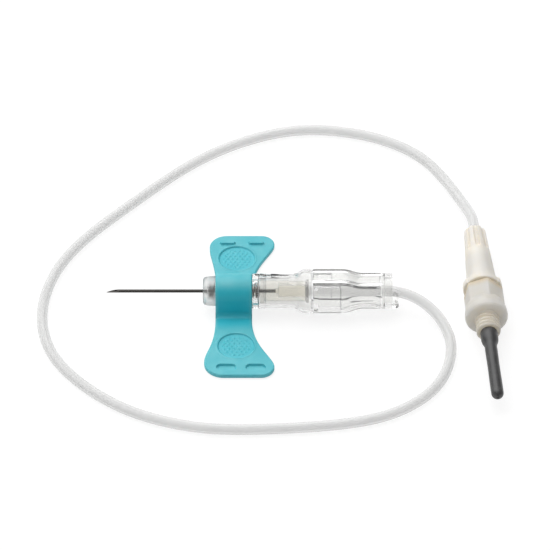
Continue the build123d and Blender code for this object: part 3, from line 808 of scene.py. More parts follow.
class NEEDLESET_OT_spring(bpy.types.Operator):
    """Draw the return spring between the housing's nose wall and the carrier's guide"""

    bl_idname = "needle_set.spring"
    bl_label = "Spring"

    def execute(self, context):
        sizes = context.scene.needle_set_sizes
        wire = sizes.spring_wire / MM / 2
        radius = sizes.spring_diameter / MM / 2 - wire
        start = NOSE_X + NOSE_WALL + wire + SPRING_PLAY
        end = GUIDE_X - wire - SPRING_PLAY
        grid = on_axis(self.coil(start, end, radius, wire, sizes.spring_turns))
        piece = add_grid("return_spring", grid, close_rows=False)
        settle(piece, "spring_steel", None, "retraction_spring")
        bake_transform(piece)
        return {"FINISHED"}

    def coil(self, start, end, radius, wire, turns):
        """A wire carried along a helix, with a point at each end.

        The middle is (x, R sin a, R cos a), with the wire's ellipse in the radial and cross directions. The
        wire is thinner along the spring than across it, by its flatness, because the pull spreads it along
        the spring. The end turns lie closer: x runs as share - closing sin(2 pi share) / 2 pi.
        """
        share = np.linspace(0.0, 1.0, 64 * turns + 1)
        run = share - END_CLOSING * np.sin(2 * pi * share) / (2 * pi)
        angle = 2 * pi * turns * share
        radial = around_x(0.0, 1.0, angle)
        forward = unit(around_x((end - start) / (2 * pi * turns), radius, angle + pi / 2))
        cross = np.cross(forward, radial)
        middle = around_x(start + (end - start) * run, radius, angle)
        ring = full_turn(16)[None, :, None]
        ellipse = np.cos(ring) * radial[:, None] + WIRE_FLATNESS * np.sin(ring) * cross[:, None]
        thickness = np.where((share > 0) & (share < 1), wire, 0.0)[:, None, None]
        thickness[[1, -2]] = WIRE_END * wire
        return middle[:, None] + thickness * ellipse


# Steps of the collar's rounded front, along X from the nose and outwards from the collar's front radius
NOSE_ROUNDING = ((0.0, -0.6), (0.18, -0.17), (0.6, 0.03))
CHAMBER_START_X = 1.135
HOUSING_ROUNDING = 0.16
CUTTER_SIDE = 9.0
CUTTER_TOP = 18.0
LIP_HALF_WIDTH = 1.7
LIP_OUTSIDE = 3.52
LIP_INSIDE = 2.46
LIP_NOTCH = 0.6
LIP_CORNER = 0.5
LIP_OVERLAP = 0.6
LIP_EASE_FROM = 0.85
LIP_END_SHARE = 0.55
MARK_START_X = 3.65
MARK_LENGTH = 1.75
MARK_TURN = 0.5
MARK_HALF_ANGLE = 0.23
MARK_LIFTS = (0.03, 0.005)


def housing_outside():
    """The housing's outside from rim to tail, as (place, radius) points."""
    return np.concatenate([
        [(RIM_END_X, BARREL_RADIUS)],
        s_curve((FLARE_START_X, BARREL_RADIUS), (BULGE_START_X, BULGE_RADIUS)),
        s_curve((BULGE_END_X, BULGE_RADIUS), (TAIL_START_X, TAIL_RADIUS)),
        [(RING_END_X, TAIL_RADIUS)]])


def housing_inside():
    """The housing's bore from the ring forwards to the chamber, as (place, radius) points."""
    return np.concatenate([
        [(RING_START_X, TAIL_BORE)],
        s_curve((TAIL_START_X, TAIL_BORE), (BULGE_END_X, BULGE_BORE)),
        s_curve((BULGE_START_X, BULGE_BORE), (FLARE_START_X, CHAMBER_BORE))])


class NEEDLESET_OT_housing(bpy.types.Operator):
    """Draw the clear housing with its lever windows, rear lip and pointer mark"""

    bl_idname = "needle_set.housing"
    bl_label = "Housing"

    def execute(self, context):
        piece = add_grid("clear_housing", on_axis(turned(self.outline())))
        cutters = [
            box_piece("window_near", (WINDOW_START_X, -CUTTER_SIDE, -CUTTER_SIDE),
                      (WINDOW_END_X, -SPINE_HALF_WIDTH, CUTTER_TOP)),
            box_piece("window_far", (WINDOW_START_X, SPINE_HALF_WIDTH, -CUTTER_SIDE),
                      (WINDOW_END_X, CUTTER_SIDE, CUTTER_TOP)),
            box_piece("top_flat", (NECK_END_X + TOP_FLAT_INSET, -CUTTER_SIDE, AXIS_HEIGHT + TOP_FLAT_HEIGHT),
                      (FLARE_START_X - TOP_FLAT_INSET, CUTTER_SIDE, CUTTER_TOP)),
        ]
        combine(piece, cutters, "DIFFERENCE")
        lip = add_grid("rear_lip", on_axis(self.lip()), close_rows=False)
        combine(piece, [lip], "UNION")
        settle(piece, "clear_plastic", "housing", "safety_housing")
        mark = add_grid("pointer_mark", on_axis(self.pointer()), close_rows=False)
        settle(mark, "mark_ink", "housing")
        return {"FINISHED"}

    def outline(self):
        """The closed outline that is turned: the outside from the nose back, then the bore forwards."""
        nose = [(NOSE_X + along, COLLAR_FRONT_RADIUS + out) for along, out in NOSE_ROUNDING]
        front = [(NECK_START_X, COLLAR_RADIUS), (NECK_START_X, NECK_RADIUS), (NECK_END_X, NECK_RADIUS),
                 (NECK_END_X, RIM_RADIUS), (RIM_END_X, RIM_RADIUS)]
        ring = [(RING_END_X, RING_BORE), (RING_START_X, RING_BORE)]
        wall_x = NOSE_X + NOSE_WALL
        chamber = [(CHAMBER_START_X, CHAMBER_BORE), (CHAMBER_START_X, SPRING_BORE), (wall_x, SPRING_BORE),
                   (wall_x, NEEDLE_HOLE_RADIUS), (NOSE_X, NEEDLE_HOLE_RADIUS)]
        corners = np.concatenate([nose, front, housing_outside(), ring, housing_inside(), chamber])
        return eased(corners, HOUSING_ROUNDING, 4)

    def lip(self):
        """The lip behind the ring: a curved tongue under the axis, between its inside and outside radius.

        Its end pulls in by a round notch and rounds at both sides: x = end - notch(y) - corner(y). Rows run
        along X, each a closed loop of the outside and the inside, and the last ones draw in to its middle.
        """
        across = np.linspace(-LIP_HALF_WIDTH, LIP_HALF_WIDTH, 41)
        notch = np.sqrt(np.clip(LIP_NOTCH ** 2 - across ** 2, 0.0, None))
        past = np.clip(np.abs(across) - LIP_HALF_WIDTH + LIP_CORNER, 0.0, LIP_CORNER)
        corner = LIP_CORNER - np.sqrt(LIP_CORNER ** 2 - past ** 2)
        reach = LIP_END_X - RING_END_X + LIP_OVERLAP - notch - corner
        outer = np.stack([across, -np.sqrt(LIP_OUTSIDE ** 2 - across ** 2)], axis=-1)
        inner = np.stack([across, -np.sqrt(LIP_INSIDE ** 2 - across ** 2)], axis=-1)
        middle = (outer + inner) / 2
        middle = np.concatenate([middle, middle[::-1]])
        loop = np.concatenate([outer, inner[::-1]])
        share = np.linspace(0.0, 1.0, 12)[:, None]
        late = np.clip((share - LIP_EASE_FROM) / (1 - LIP_EASE_FROM), 0.0, 1.0)
        width = LIP_END_SHARE + (1 - LIP_END_SHARE) * np.sqrt(1 - late ** 2)
        place = RING_END_X - LIP_OVERLAP + np.concatenate([reach, reach[::-1]]) * share
        rows = np.concatenate([place[..., None], middle + (loop - middle) * width[..., None]], axis=-1)
        ends = rows[[0, -1]]
        ends[..., 1:] = middle
        return np.concatenate([ends[:1], rows, ends[1:]])

    def pointer(self):
        """A small printed wedge on the barrel, whose half angle falls evenly to nothing along X."""
        share = np.linspace(0.0, 1.0, 24)[:, None]
        side = np.linspace(-1.0, 1.0, 9)
        turn = MARK_TURN - MARK_HALF_ANGLE * side * (1 - share)
        place = MARK_START_X + MARK_LENGTH * share
        top, under = (around_x(place, BARREL_RADIUS + lift, turn) for lift in MARK_LIFTS)
        return np.concatenate([top, under[:, ::-1]], axis=1)


LEVER_STEP = 0.01
LEVER_ROUNDING = 0.1
GROOVE_DEPTH = 0.1
GROOVE_START = (17.5, 20.0)
GROOVE_END = (25.0, 23.5)
GROOVE_SIDES = (0.95, 0.8)


class NEEDLESET_OT_levers(bpy.types.Operator):
    """Draw the two side levers, with a catch rib inside each front end"""

    bl_idname = "needle_set.levers"
    bl_label = "Levers"

    def execute(self, context):
        for name, side, block_end in (("near", -1, NEAR_BLOCK_END_X), ("far", 1, FAR_BLOCK_END_X)):
            points, faces = self.leaf(side, block_end)
            piece = add_piece("side_lever_" + name, points, faces, 30.0)
            settle(piece, "clear_plastic", "lever_" + name, "release_lever_" + name)
        return {"FINISHED"}

    def leaf(self, side, block_end):
        """The wall between bore and outside where |y| is over the slot's edge, thicker inside its front end.

        At each place the loop runs along the outside over angles up to arccos(edge / radius) from level, and
        back along the bore; the two ends are closed between the loop's halves. Behind the bulge the outside
        dips by depth (1 + cos(4 pi share)) / 2 into shallow finger grooves.
        """
        steps = [end + step for end in (CATCH_END_X, block_end) for step in (-LEVER_STEP, LEVER_STEP)]
        place = np.sort(np.concatenate([np.linspace(LEVER_START_X, LEVER_END_X, 96), steps]))
        outside = housing_outside()
        inside = housing_inside()[::-1]
        outer = np.interp(place, outside[:, 0], outside[:, 1])
        inner = np.interp(place, inside[:, 0], inside[:, 1])
        inner = np.where(place < block_end, BLOCK_RADIUS, inner)
        inner = np.where(place < CATCH_END_X, CHAMBER_BORE, inner)
        to_end = np.minimum(place - LEVER_START_X, LEVER_END_X - place)
        past = np.clip(1 - to_end / LEVER_ROUNDING, 0.0, 1.0)
        outer = outer - LEVER_ROUNDING * (1 - np.sqrt(1 - past ** 2))
        share = np.linspace(-1.0, 1.0, 97)
        groove = GROOVE_DEPTH * (1 + np.cos(4 * pi * share)) / 2 * smooth_step(*GROOVE_SIDES, np.abs(share))
        run = smooth_step(*GROOVE_START, place) * smooth_step(*GROOVE_END, place)
        halves = []
        for radius in (outer[:, None] - groove * run[:, None], inner[:, None]):
            angle = side * (pi / 2 - share * np.arccos(LEVER_EDGE_Y / radius))
            halves.append(around_x(place[:, None], radius, angle))
        grid = np.concatenate([halves[0], halves[1][:, ::-1]], axis=1)
        rows, columns = grid.shape[:2]
        along = np.arange(columns // 2 - 1)
        cap = np.stack([along, columns - 1 - along, columns - 2 - along, along + 1], axis=-1)
        wall = grid_faces(rows, columns, False, True)
        faces = np.concatenate([wall, cap, cap[:, ::-1] + (rows - 1) * columns])
        return on_axis(grid).reshape(-1, 3), faces


SADDLE_BORE = NECK_RADIUS + 0.02


class NEEDLESET_OT_saddle(bpy.types.Operator):
    """Draw the saddle that carries the wings on the housing's neck"""

    bl_idname = "needle_set.saddle"
    bl_label = "Saddle"

    def execute(self, context):
        sizes = context.scene.needle_set_sizes
        grid = self.sleeve(sizes.wing_thickness / MM, sizes.wing_edge / MM)
        settle(add_grid("saddle_sleeve", grid), "teal_vinyl", "housing", "wing_saddle")
        return {"FINISHED"}

    def sleeve(self, thickness, edge):
        """An arch on a flat foot, bored for the neck.

        The outline is followed at even steps. Each of its points has a loop: bore, front face, rounded front
        edge, outside, rounded rear edge, rear face. A rounded edge pulls the outline in by edge (1 - sin a).
        """
        crease = arc((SADDLE_RADIUS + SADDLE_FILLET, thickness + SADDLE_FILLET), SADDLE_FILLET, 270, 180, 12)
        arch = arc((0.0, AXIS_HEIGHT), SADDLE_RADIUS, 0, 180, 90)
        right = np.concatenate([[(0.0, 0.0), (FOOT_HALF_WIDTH, 0.0), (FOOT_HALF_WIDTH, thickness)], crease])
        left = right[:0:-1] * np.array((-1.0, 1.0))
        corners = np.concatenate([right, arch, left, [(0.0, 0.0)]])
        run = np.concatenate([[0.0], np.cumsum(np.linalg.norm(np.diff(corners, axis=0), axis=1))])
        along = np.linspace(0.0, run[-1], 360, endpoint=False)
        outline = np.stack([np.interp(along, run, corners[:, axis]) for axis in (0, 1)], axis=-1)
        forward = unit(np.roll(outline, -2, axis=0) - np.roll(outline, 2, axis=0))
        inward = np.stack([-forward[:, 1], forward[:, 0]], axis=-1)
        bearing = np.unwrap(np.arctan2(outline[:, 1] - AXIS_HEIGHT, outline[:, 0]))
        bearing = np.maximum.accumulate(bearing)
        bore = np.stack([SADDLE_BORE * np.cos(bearing), AXIS_HEIGHT + SADDLE_BORE * np.sin(bearing)], axis=-1)
        half = SADDLE_LENGTH / 2
        bend = np.linspace(0.0, pi / 2, 6)
        loop = [(bore, half), (bore, -half)]
        for end, angles in ((-1, bend), (1, bend[::-1])):
            for a in angles:
                loop.append((outline + inward * edge * (1 - sin(a)), end * (half - edge * (1 - cos(a)))))
        return np.stack([np.insert(ring, 0, SADDLE_X + place, axis=1) for ring, place in loop])


# How far each edge of a wing runs on straight from its root, and before its corner
FRONT_HANDLES = (7.5, 3.2)
REAR_HANDLES = (7.4, 2.6)
ROOT_OVERLAP = 0.1
ROOT_LIFT = 0.012
ROOT_LIFT_YS = (6.0, 4.6)
ROOT_Y = HINGE_Y + 0.05
TIP_CROWDING = 0.28
EDGE_CROWDING = 0.45
PAD_WALL = 0.14
PAD_RIM_HEIGHT = 0.07
PAD_RIM_AWAY = 0.22
PAD_RIM_WIDTH = 0.16
DOT_PITCH = 0.95
DOT_ROW_PITCH = 0.866 * DOT_PITCH
DOT_HEIGHT = 0.09
DOT_RADII = (0.3, 0.16)
DOT_FIELD_RADIUS = 2.75
BAR_WALL = (0.06, -0.08)


def wing_edges(y, side):
    """The front and rear edge of a wing at each y, about the saddle's middle.

    Each edge is a cubic from the waist to the corner, and then the corner's arc.
    """
    shape = WING_SHAPES[side]
    waist = SADDLE_LENGTH / 2
    edges = []
    for way, width, corner, (root_run, corner_run) in (
            (-1, shape["front"], shape["corner"], FRONT_HANDLES), (1, WING_REAR, REAR_CORNER, REAR_HANDLES)):
        turn_y = WING_REACH - corner
        flank = cubic((waist, ROOT_Y), (waist, ROOT_Y + root_run),
                      (width, turn_y - corner_run), (width, turn_y), 60)
        line = np.concatenate([[(waist, 0.0)], flank, arc((width - corner, turn_y), corner, 0, 90, 60)[1:]])
        edges.append(way * np.interp(y, line[:, 1], line[:, 0]))
    return edges


class NEEDLESET_OT_wings(bpy.types.Operator):
    """Draw the two soft wings with their pads, and the bars that lock into the pockets"""

    bl_idname = "needle_set.wings"
    bl_label = "Wings"

    def execute(self, context):
        sizes = context.scene.needle_set_sizes
        for name, side in (("near", -1), ("far", 1)):
            points, faces = self.blade(side, sizes)
            piece = add_piece("soft_wing_" + name, points, faces, 50.0)
            settle(piece, "teal_vinyl", None, "wing_" + name)
            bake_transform(piece)
        return {"FINISHED"}

    def blade(self, side, sizes):
        """A height over the wing's plan.

        The plan is x = front(y) + u (rear(y) - front(y)), with rows closer towards the tip and columns closer
        towards the edges. The top is the thickness, less the pad's dish, with bars or pockets and a slight
        lift at the root. Within edge of the outline, at a distance d from it, both faces round off by
        edge - sqrt(edge^2 - (edge - d)^2).
        """
        edge = sizes.wing_edge / MM
        row = np.linspace(0.0, 1.0, 250)
        root = FOOT_HALF_WIDTH - ROOT_OVERLAP
        y = root + (WING_REACH - root) * (row + TIP_CROWDING * row * (1 - row))
        share = np.linspace(0.0, 1.0, 170)
        share = share + EDGE_CROWDING * (0.5 - 0.5 * np.cos(pi * share) - share)
        front, rear = wing_edges(y, side)
        x = front[:, None] + (rear - front)[:, None] * share
        y = np.broadcast_to(y[:, None], x.shape)
        rounding = edge - np.sqrt(edge ** 2 - np.clip(edge - self.edge_distance(x, y, side), 0.0, edge) ** 2)
        top = sizes.wing_thickness / MM - rounding + self.relief(x, y, side, sizes)
        top = top + ROOT_LIFT * smooth_step(*ROOT_LIFT_YS, y)
        layers = [np.stack([SADDLE_X + x, side * y, height], axis=-1) for height in (top, rounding)]
        faces = grid_faces(*x.shape, False, False)
        number = np.arange(x.size).reshape(x.shape)
        border = np.concatenate([number[0, :-1], number[:-1, -1], number[-1, :0:-1], number[:0:-1, 0]])
        after = np.roll(border, -1)
        wall = np.stack([border, after, after + x.size, border + x.size], axis=-1)
        return np.concatenate(layers).reshape(-1, 3), np.concatenate([faces, faces[:, ::-1] + x.size, wall])

    def edge_distance(self, x, y, side):
        """Distance from each plan point to the wing's outline but for its root: the least over its points."""
        line = np.linspace(0.0, WING_REACH - 1e-4, 500)
        line = WING_REACH * (1 - (1 - line / WING_REACH) ** 2)
        front, rear = wing_edges(line, side)
        tip_start = WING_SHAPES[side]["corner"] - WING_SHAPES[side]["front"]
        tip = np.linspace(tip_start, WING_REAR - REAR_CORNER, 120)
        edge_x = np.concatenate([front, rear, tip])
        edge_y = np.concatenate([line, line, np.full_like(tip, WING_REACH)])
        spots = np.stack([x.ravel(), y.ravel()], axis=-1)
        nearest = [np.min(np.hypot(part[:, :1] - edge_x, part[:, 1:] - edge_y), axis=1)
                   for part in np.array_split(spots, 40)]
        return np.concatenate(nearest).reshape(x.shape)

    def relief(self, x, y, side, sizes):
        """Heights on the top: the dished pad with its rim and grip dots, and bars above or pockets below."""
        right = x - PAD_X
        out = y - WING_SHAPES[side]["pad_y"]
        away = np.hypot(right, out)
        dish = 1 - smooth_step(PAD_RADIUS - PAD_WALL, PAD_RADIUS, away)
        rim = np.exp(-((away - PAD_RADIUS - PAD_RIM_AWAY) / PAD_RIM_WIDTH) ** 2)
        line = np.round(out / DOT_ROW_PITCH)
        shift = DOT_PITCH / 2 * (line % 2)
        across = (right - shift + DOT_PITCH / 2) % DOT_PITCH - DOT_PITCH / 2
        dots = smooth_step(*DOT_RADII, np.hypot(across, out - line * DOT_ROW_PITCH))
        dots = dots * (away < DOT_FIELD_RADIUS)
        height = PAD_RIM_HEIGHT * rim + DOT_HEIGHT * dots - sizes.pad_depth / MM * dish
        half_run = (BAR_LENGTH - BAR_WIDTH) / 2
        half_width = BAR_WIDTH / 2 + (0.0 if side > 0 else POCKET_PLAY)
        for place in BAR_PLACES:
            beyond = np.clip(np.abs(x - place) - half_run, 0.0, None)
            bar = smooth_step(*BAR_WALL, np.hypot(beyond, y - BAR_Y) - half_width)
            height = height + side * bar * sizes.bar_height / MM
        return height


class NEEDLESET_OT_tube(bpy.types.Operator):
    """Draw the clear tube along its route"""

    bl_idname = "needle_set.tube"
    bl_label = "Tube"

    def execute(self, context):
        sizes = context.scene.needle_set_sizes
        line = self.route_line()
        grid = self.hose(line, sizes.tube_diameter / MM / 2, sizes.tube_bore / MM / 2)
        piece = settle(add_grid("vinyl_tube", grid), "clear_vinyl", "needle_line", "tubing")
        return {"FINISHED"}

    def route_line(self):
        """Points read from a NURBS line that has the route's points as its control points."""
        curve = bpy.data.curves.new("tube_line", "CURVE")
        curve.dimensions = "3D"
        spline = curve.splines.new("NURBS")
        spline.points.add(len(TUBE_ROUTE) - 1)
        spline.points.foreach_set("co", np.insert(np.array(TUBE_ROUTE) * MM, 3, 1.0, axis=1).ravel())
        spline.order_u = 3
        spline.use_endpoint_u = True
        spline.resolution_u = 16
        holder = add_object("tube_line", curve)
        mesh = finished_mesh(holder)
        points = np.zeros(3 * len(mesh.vertices))
        mesh.vertices.foreach_get("co", points)
        bpy.data.objects.remove(holder)
        bpy.data.curves.remove(curve)
        bpy.data.meshes.remove(mesh)
        return points.reshape(-1, 3) / MM

    def hose(self, line, radius, bore):
        """A ring carried along the line in the level and upright directions across it.

        The rows run out along the outside and back along the bore.
        """
        forward = unit(np.gradient(line, axis=0))
        level = unit(np.cross(forward, UP))
        upright = np.cross(level, forward)
        angle = full_turn(40)[None, :, None]
        ring = np.cos(angle) * level[:, None] + np.sin(angle) * upright[:, None]
        return np.concatenate([line[:, None] + radius * ring, (line[:, None] + bore * ring)[::-1]])


LUER_NOSE_RADIUS = 1.2
NOSE_ARC_MIDDLE = (0.8, 1.38)
NOSE_ARC_RADIUS = 0.8
CONE_START_RADIUS = 2.15
CONE_SPREAD = 0.85
FLUTE_STEP = 0.1
FLUTE_SIDES = (0.48, 0.38)
LUG_RADIUS = 3.6
LUG_EAR = 0.25
LUG_REACH = 3.85
LUG_HEIGHTS = (2.25, 1.95)
MOUTH_RADIUS = 2.16
TAPER_END = 9.15
TAPER_END_RADIUS = 1.898
TUBE_STOP = 5.0


class NEEDLESET_OT_luer(bpy.types.Operator):
    """Draw the ivory luer with its flutes and lugs"""

    bl_idname = "needle_set.luer"
    bl_label = "Luer"

    def execute(self, context):
        floor = context.scene.needle_set_sizes.flute_floor / MM
        piece = add_grid("ivory_luer", on_luer(self.socket(floor)), sharp_degrees=35.0)
        settle(piece, "ivory_plastic", "needle_line", "female_luer")
        return {"FINISHED"}

    def socket(self, floor):
        """A cone turned round X with flat-bottomed flutes and two lugs.

        The outline's radius r becomes r - (r - floor / cos b) times the flute's mask, with b the angle from
        the nearest flute, and r + ear times the lug's mask, where |z| is under the lug's half height.
        """
        nose = np.concatenate([[(0.0, TUBE_SOCKET_RADIUS), (0.0, LUER_NOSE_RADIUS)],
                               arc(NOSE_ARC_MIDDLE, NOSE_ARC_RADIUS, 180, 93, 14)])
        cone_u = np.concatenate([np.linspace(0.85, FLUTE_END - 0.2, 36),
                                 np.linspace(FLUTE_END - 0.14, FLUTE_END + 0.14, 8),
                                 np.linspace(FLUTE_END + 0.3, LUG_START - 0.1, 24)])
        cone = np.stack([cone_u, CONE_START_RADIUS + CONE_SPREAD * cone_u / LUG_START], axis=-1)
        lug = [(LUG_START, LUG_RADIUS - 0.55), (LUG_START + 0.02, LUG_RADIUS - 0.15),
               (LUG_START + 0.14, LUG_RADIUS), (LUER_LENGTH - 0.14, LUG_RADIUS),
               (LUER_LENGTH - 0.02, LUG_RADIUS - 0.1), (LUER_LENGTH, LUG_RADIUS - 0.25)]
        mouth = [(LUER_LENGTH, MOUTH_RADIUS + 0.14), (LUER_LENGTH - 0.1, MOUTH_RADIUS),
                 (TAPER_END, TAPER_END_RADIUS),
                 (TAPER_END, NEEDLE_SEAT_RADIUS), (TUBE_STOP, NEEDLE_SEAT_RADIUS),
                 (TUBE_STOP, TUBE_SOCKET_RADIUS)]
        outline = np.concatenate([nose, cone, lug, mouth])
        place = outline[:, :1]
        radius = outline[:, 1:]
        number = np.arange(len(outline))[:, None]
        lug_first = len(nose) + len(cone)
        on_cone = (number >= 2) & (number < lug_first)
        on_lug = (number > lug_first) & (number < lug_first + len(lug))
        angle = full_turn(384)
        bearing = (angle + pi / 8) % (pi / 4) - pi / 8
        run = smooth_step(FLUTE_END + FLUTE_STEP, FLUTE_END - FLUTE_STEP, place)
        mask = run * smooth_step(*FLUTE_SIDES, np.abs(radius * np.sin(bearing))) * on_cone
        flute = np.clip(radius - floor / np.cos(bearing), 0.0, None) * mask
        ears = LUG_EAR * smooth_step(*LUG_HEIGHTS, np.abs(LUG_REACH * np.cos(angle))) * on_lug
        return around_x(place, radius - flute + ears, angle)


MALE_START = 10.65
MALE_RADII = (1.92, 2.14)
HEX_FLAT_RADIUS = 3.5
HEX_CORNER_RADIUS = 3.97
HEX_EASE = 0.25
BELL_RADII = (3.3, 4.1)
BELL_END = DISC_START - 0.25
DISC_RADIUS = 4.2
BOSS_RADIUS = 2.4
NIB_LENGTH = 2.0
NIB_RADIUS = 0.95
REAR_NEEDLE_RADIUS = 0.43
REAR_NEEDLE_DEPTH = 6.0
THREAD_RISE = (0.16, 0.36)
THREAD_FALL = (0.84, 0.64)


class NEEDLESET_OT_hub(bpy.types.Operator):
    """Draw the frosted adapter hub with its hex grip, bell, disc and thread"""

    bl_idname = "needle_set.hub"
    bl_label = "Hub"

    def execute(self, context):
        sizes = context.scene.needle_set_sizes
        grid = on_luer(self.body(sizes.thread_pitch / MM, sizes.thread_depth / MM))
        piece = add_grid("frosted_hub", grid, sharp_degrees=28.0)
        settle(piece, "frosted_plastic", "adapter", "adapter_hub")
        return {"FINISHED"}

    def body(self, pitch, depth):
        """A turned outline that is hexagonal at the grip and threaded behind the disc.

        On the grip the radius is the larger of the bell and flat / cos b, with b the angle from the nearest
        flat's middle. On the boss it falls by depth where the share of a turn, x / pitch - angle, is near a
        half.
        """
        male = [(MALE_START, NEEDLE_SEAT_RADIUS), (MALE_START, MALE_RADII[0] - 0.1),
                (MALE_START + 0.08, MALE_RADII[0]), (HEX_START, MALE_RADII[1])]
        grip_u = np.concatenate([[HEX_START, HEX_START + 0.06, HEX_START + 0.2],
                                 np.linspace(HEX_START + 0.4, BELL_END, 90)])
        bell = s_curve((HEX_END - 0.8, BELL_RADII[0]), (BELL_END, BELL_RADII[1]), 40)
        grip = np.stack([grip_u, np.interp(grip_u, bell[:, 0], bell[:, 1])], axis=-1)
        disc = [(DISC_START - 0.1, DISC_RADIUS - 0.03), (DISC_START + 0.1, DISC_RADIUS),
                (DISC_START + 0.7, DISC_RADIUS), (DISC_START + 1.05, DISC_RADIUS - 0.07),
                (DISC_START + 1.3, DISC_RADIUS - 0.28), (THREAD_START, DISC_RADIUS - 0.54),
                (THREAD_START, BOSS_RADIUS + 0.35), (THREAD_START + 0.1, BOSS_RADIUS + 0.1)]
        boss_u = np.linspace(THREAD_START + 0.3, SLEEVE_START - 0.2, 110)
        boss = np.stack([boss_u, np.full_like(boss_u, BOSS_RADIUS)], axis=-1)
        nib_end = SLEEVE_START + NIB_LENGTH
        seat_end = SLEEVE_START - REAR_NEEDLE_DEPTH
        end = [(SLEEVE_START - 0.05, BOSS_RADIUS - 0.12), (SLEEVE_START, BOSS_RADIUS - 0.3),
               (SLEEVE_START, NIB_RADIUS), (nib_end - 0.12, NIB_RADIUS), (nib_end, NIB_RADIUS - 0.12),
               (nib_end, REAR_NEEDLE_RADIUS), (seat_end, REAR_NEEDLE_RADIUS), (seat_end, NEEDLE_SEAT_RADIUS)]
        outline = np.concatenate([male, grip, disc, boss, end])
        place = outline[:, :1]
        radius = outline[:, 1:]
        number = np.arange(len(outline))[:, None]
        on_grip = (number >= len(male)) & (number < len(male) + len(grip))
        boss_first = len(male) + len(grip) + len(disc)
        on_boss = (number >= boss_first) & (number < boss_first + len(boss))
        angle = full_turn(240)
        bearing = (angle + radians(HEX_TURN) + pi / 6) % (pi / 3) - pi / 6
        flat = np.minimum(HEX_FLAT_RADIUS / np.cos(bearing), HEX_CORNER_RADIUS)
        start_ease = HEX_EASE * (1 - smooth_step(HEX_START, HEX_START + HEX_EASE, place))
        wall = np.where(on_grip, np.maximum(flat - start_ease, radius), radius)
        turn = ((place - THREAD_START) / pitch - angle / (2 * pi)) % 1.0
        groove = smooth_step(*THREAD_RISE, turn) * smooth_step(*THREAD_FALL, turn)
        fade = smooth_step(THREAD_START + 0.25, THREAD_START + 0.7, place)
        fade = fade * smooth_step(SLEEVE_START - 0.1, SLEEVE_START - 0.5, place)
        return around_x(place, wall - depth * groove * fade * on_boss, angle)


SLEEVE_PLAY = 0.02
BULB_RADIUS = 1.7
FINGER_RADIUS = 1.2
FINGER_SWELL = 0.02
FINGER_WAVE = 1.7
SLEEVE_BORE = 0.6


class NEEDLESET_OT_sleeve(bpy.types.Operator):
    """Draw the dark rubber sleeve over the rear needle"""

    bl_idname = "needle_set.sleeve"
    bl_label = "Rubber Sleeve"

    def execute(self, context):
        settle(add_grid("sleeve_rubber", on_luer(self.finger())), "dark_rubber", "adapter", "rubber_sleeve")
        return {"FINISHED"}

    def finger(self):
        """A bulb, a neck and a straight finger turned round X, with a dimpled round tip and a closed bore.

        The finger's radius swells by swell sin(x / wave), as moulded rubber does.
        """
        start = SLEEVE_START + SLEEVE_PLAY
        mouth = NIB_RADIUS + SLEEVE_PLAY
        bulb = [(start, mouth), (start, BULB_RADIUS - 0.2), (start + 0.07, BULB_RADIUS - 0.08),
                (start + 0.22, BULB_RADIUS - 0.01), (start + 1.2, BULB_RADIUS)]
        neck = s_curve((start + 1.8, BULB_RADIUS), (start + 4.6, FINGER_RADIUS), 24)
        finger_u = np.linspace(start + 5.0, SLEEVE_END - 1.25, 40)
        finger = np.stack([finger_u, FINGER_RADIUS + FINGER_SWELL * np.sin(finger_u / FINGER_WAVE)], axis=-1)
        tip = arc((SLEEVE_END - FINGER_RADIUS, 0.0), FINGER_RADIUS, 88, 25, 14)
        dimple = [(SLEEVE_END - depth, radius) for depth, radius in (
            (0.02, 0.34), (0.12, 0.2), (0.2, 0.08), (0.22, 0.0))]
        bore_end = SLEEVE_END - FINGER_RADIUS
        nib_end = start + NIB_LENGTH
        bore = [(bore_end, 0.0), (bore_end, SLEEVE_BORE), (nib_end, SLEEVE_BORE), (nib_end, mouth)]
        return turned(np.concatenate([bulb, neck, finger, tip, dimple, bore]), 96)


WHITE = (1.0, 1.0, 1.0, 1.0)
CAMERA_TARGET = (4.43, 2.091, 6.755)
SENSOR_WIDTH = 36.0
# Side and place of each lamp, in metres
BACK_LAMP = (1.8, (-0.45, 0.65, 1.05))
TOP_LAMP = (1.2, (-0.12, 0.05, 1.3))
FLOOR_DROP = 0.02
FLOOR_GLOW = 1.2
FLOOR_SEEN_SHARE = 0.68
FLOOR_GLASS_SHARE = 0.85
GLASS_SKY = 0.8


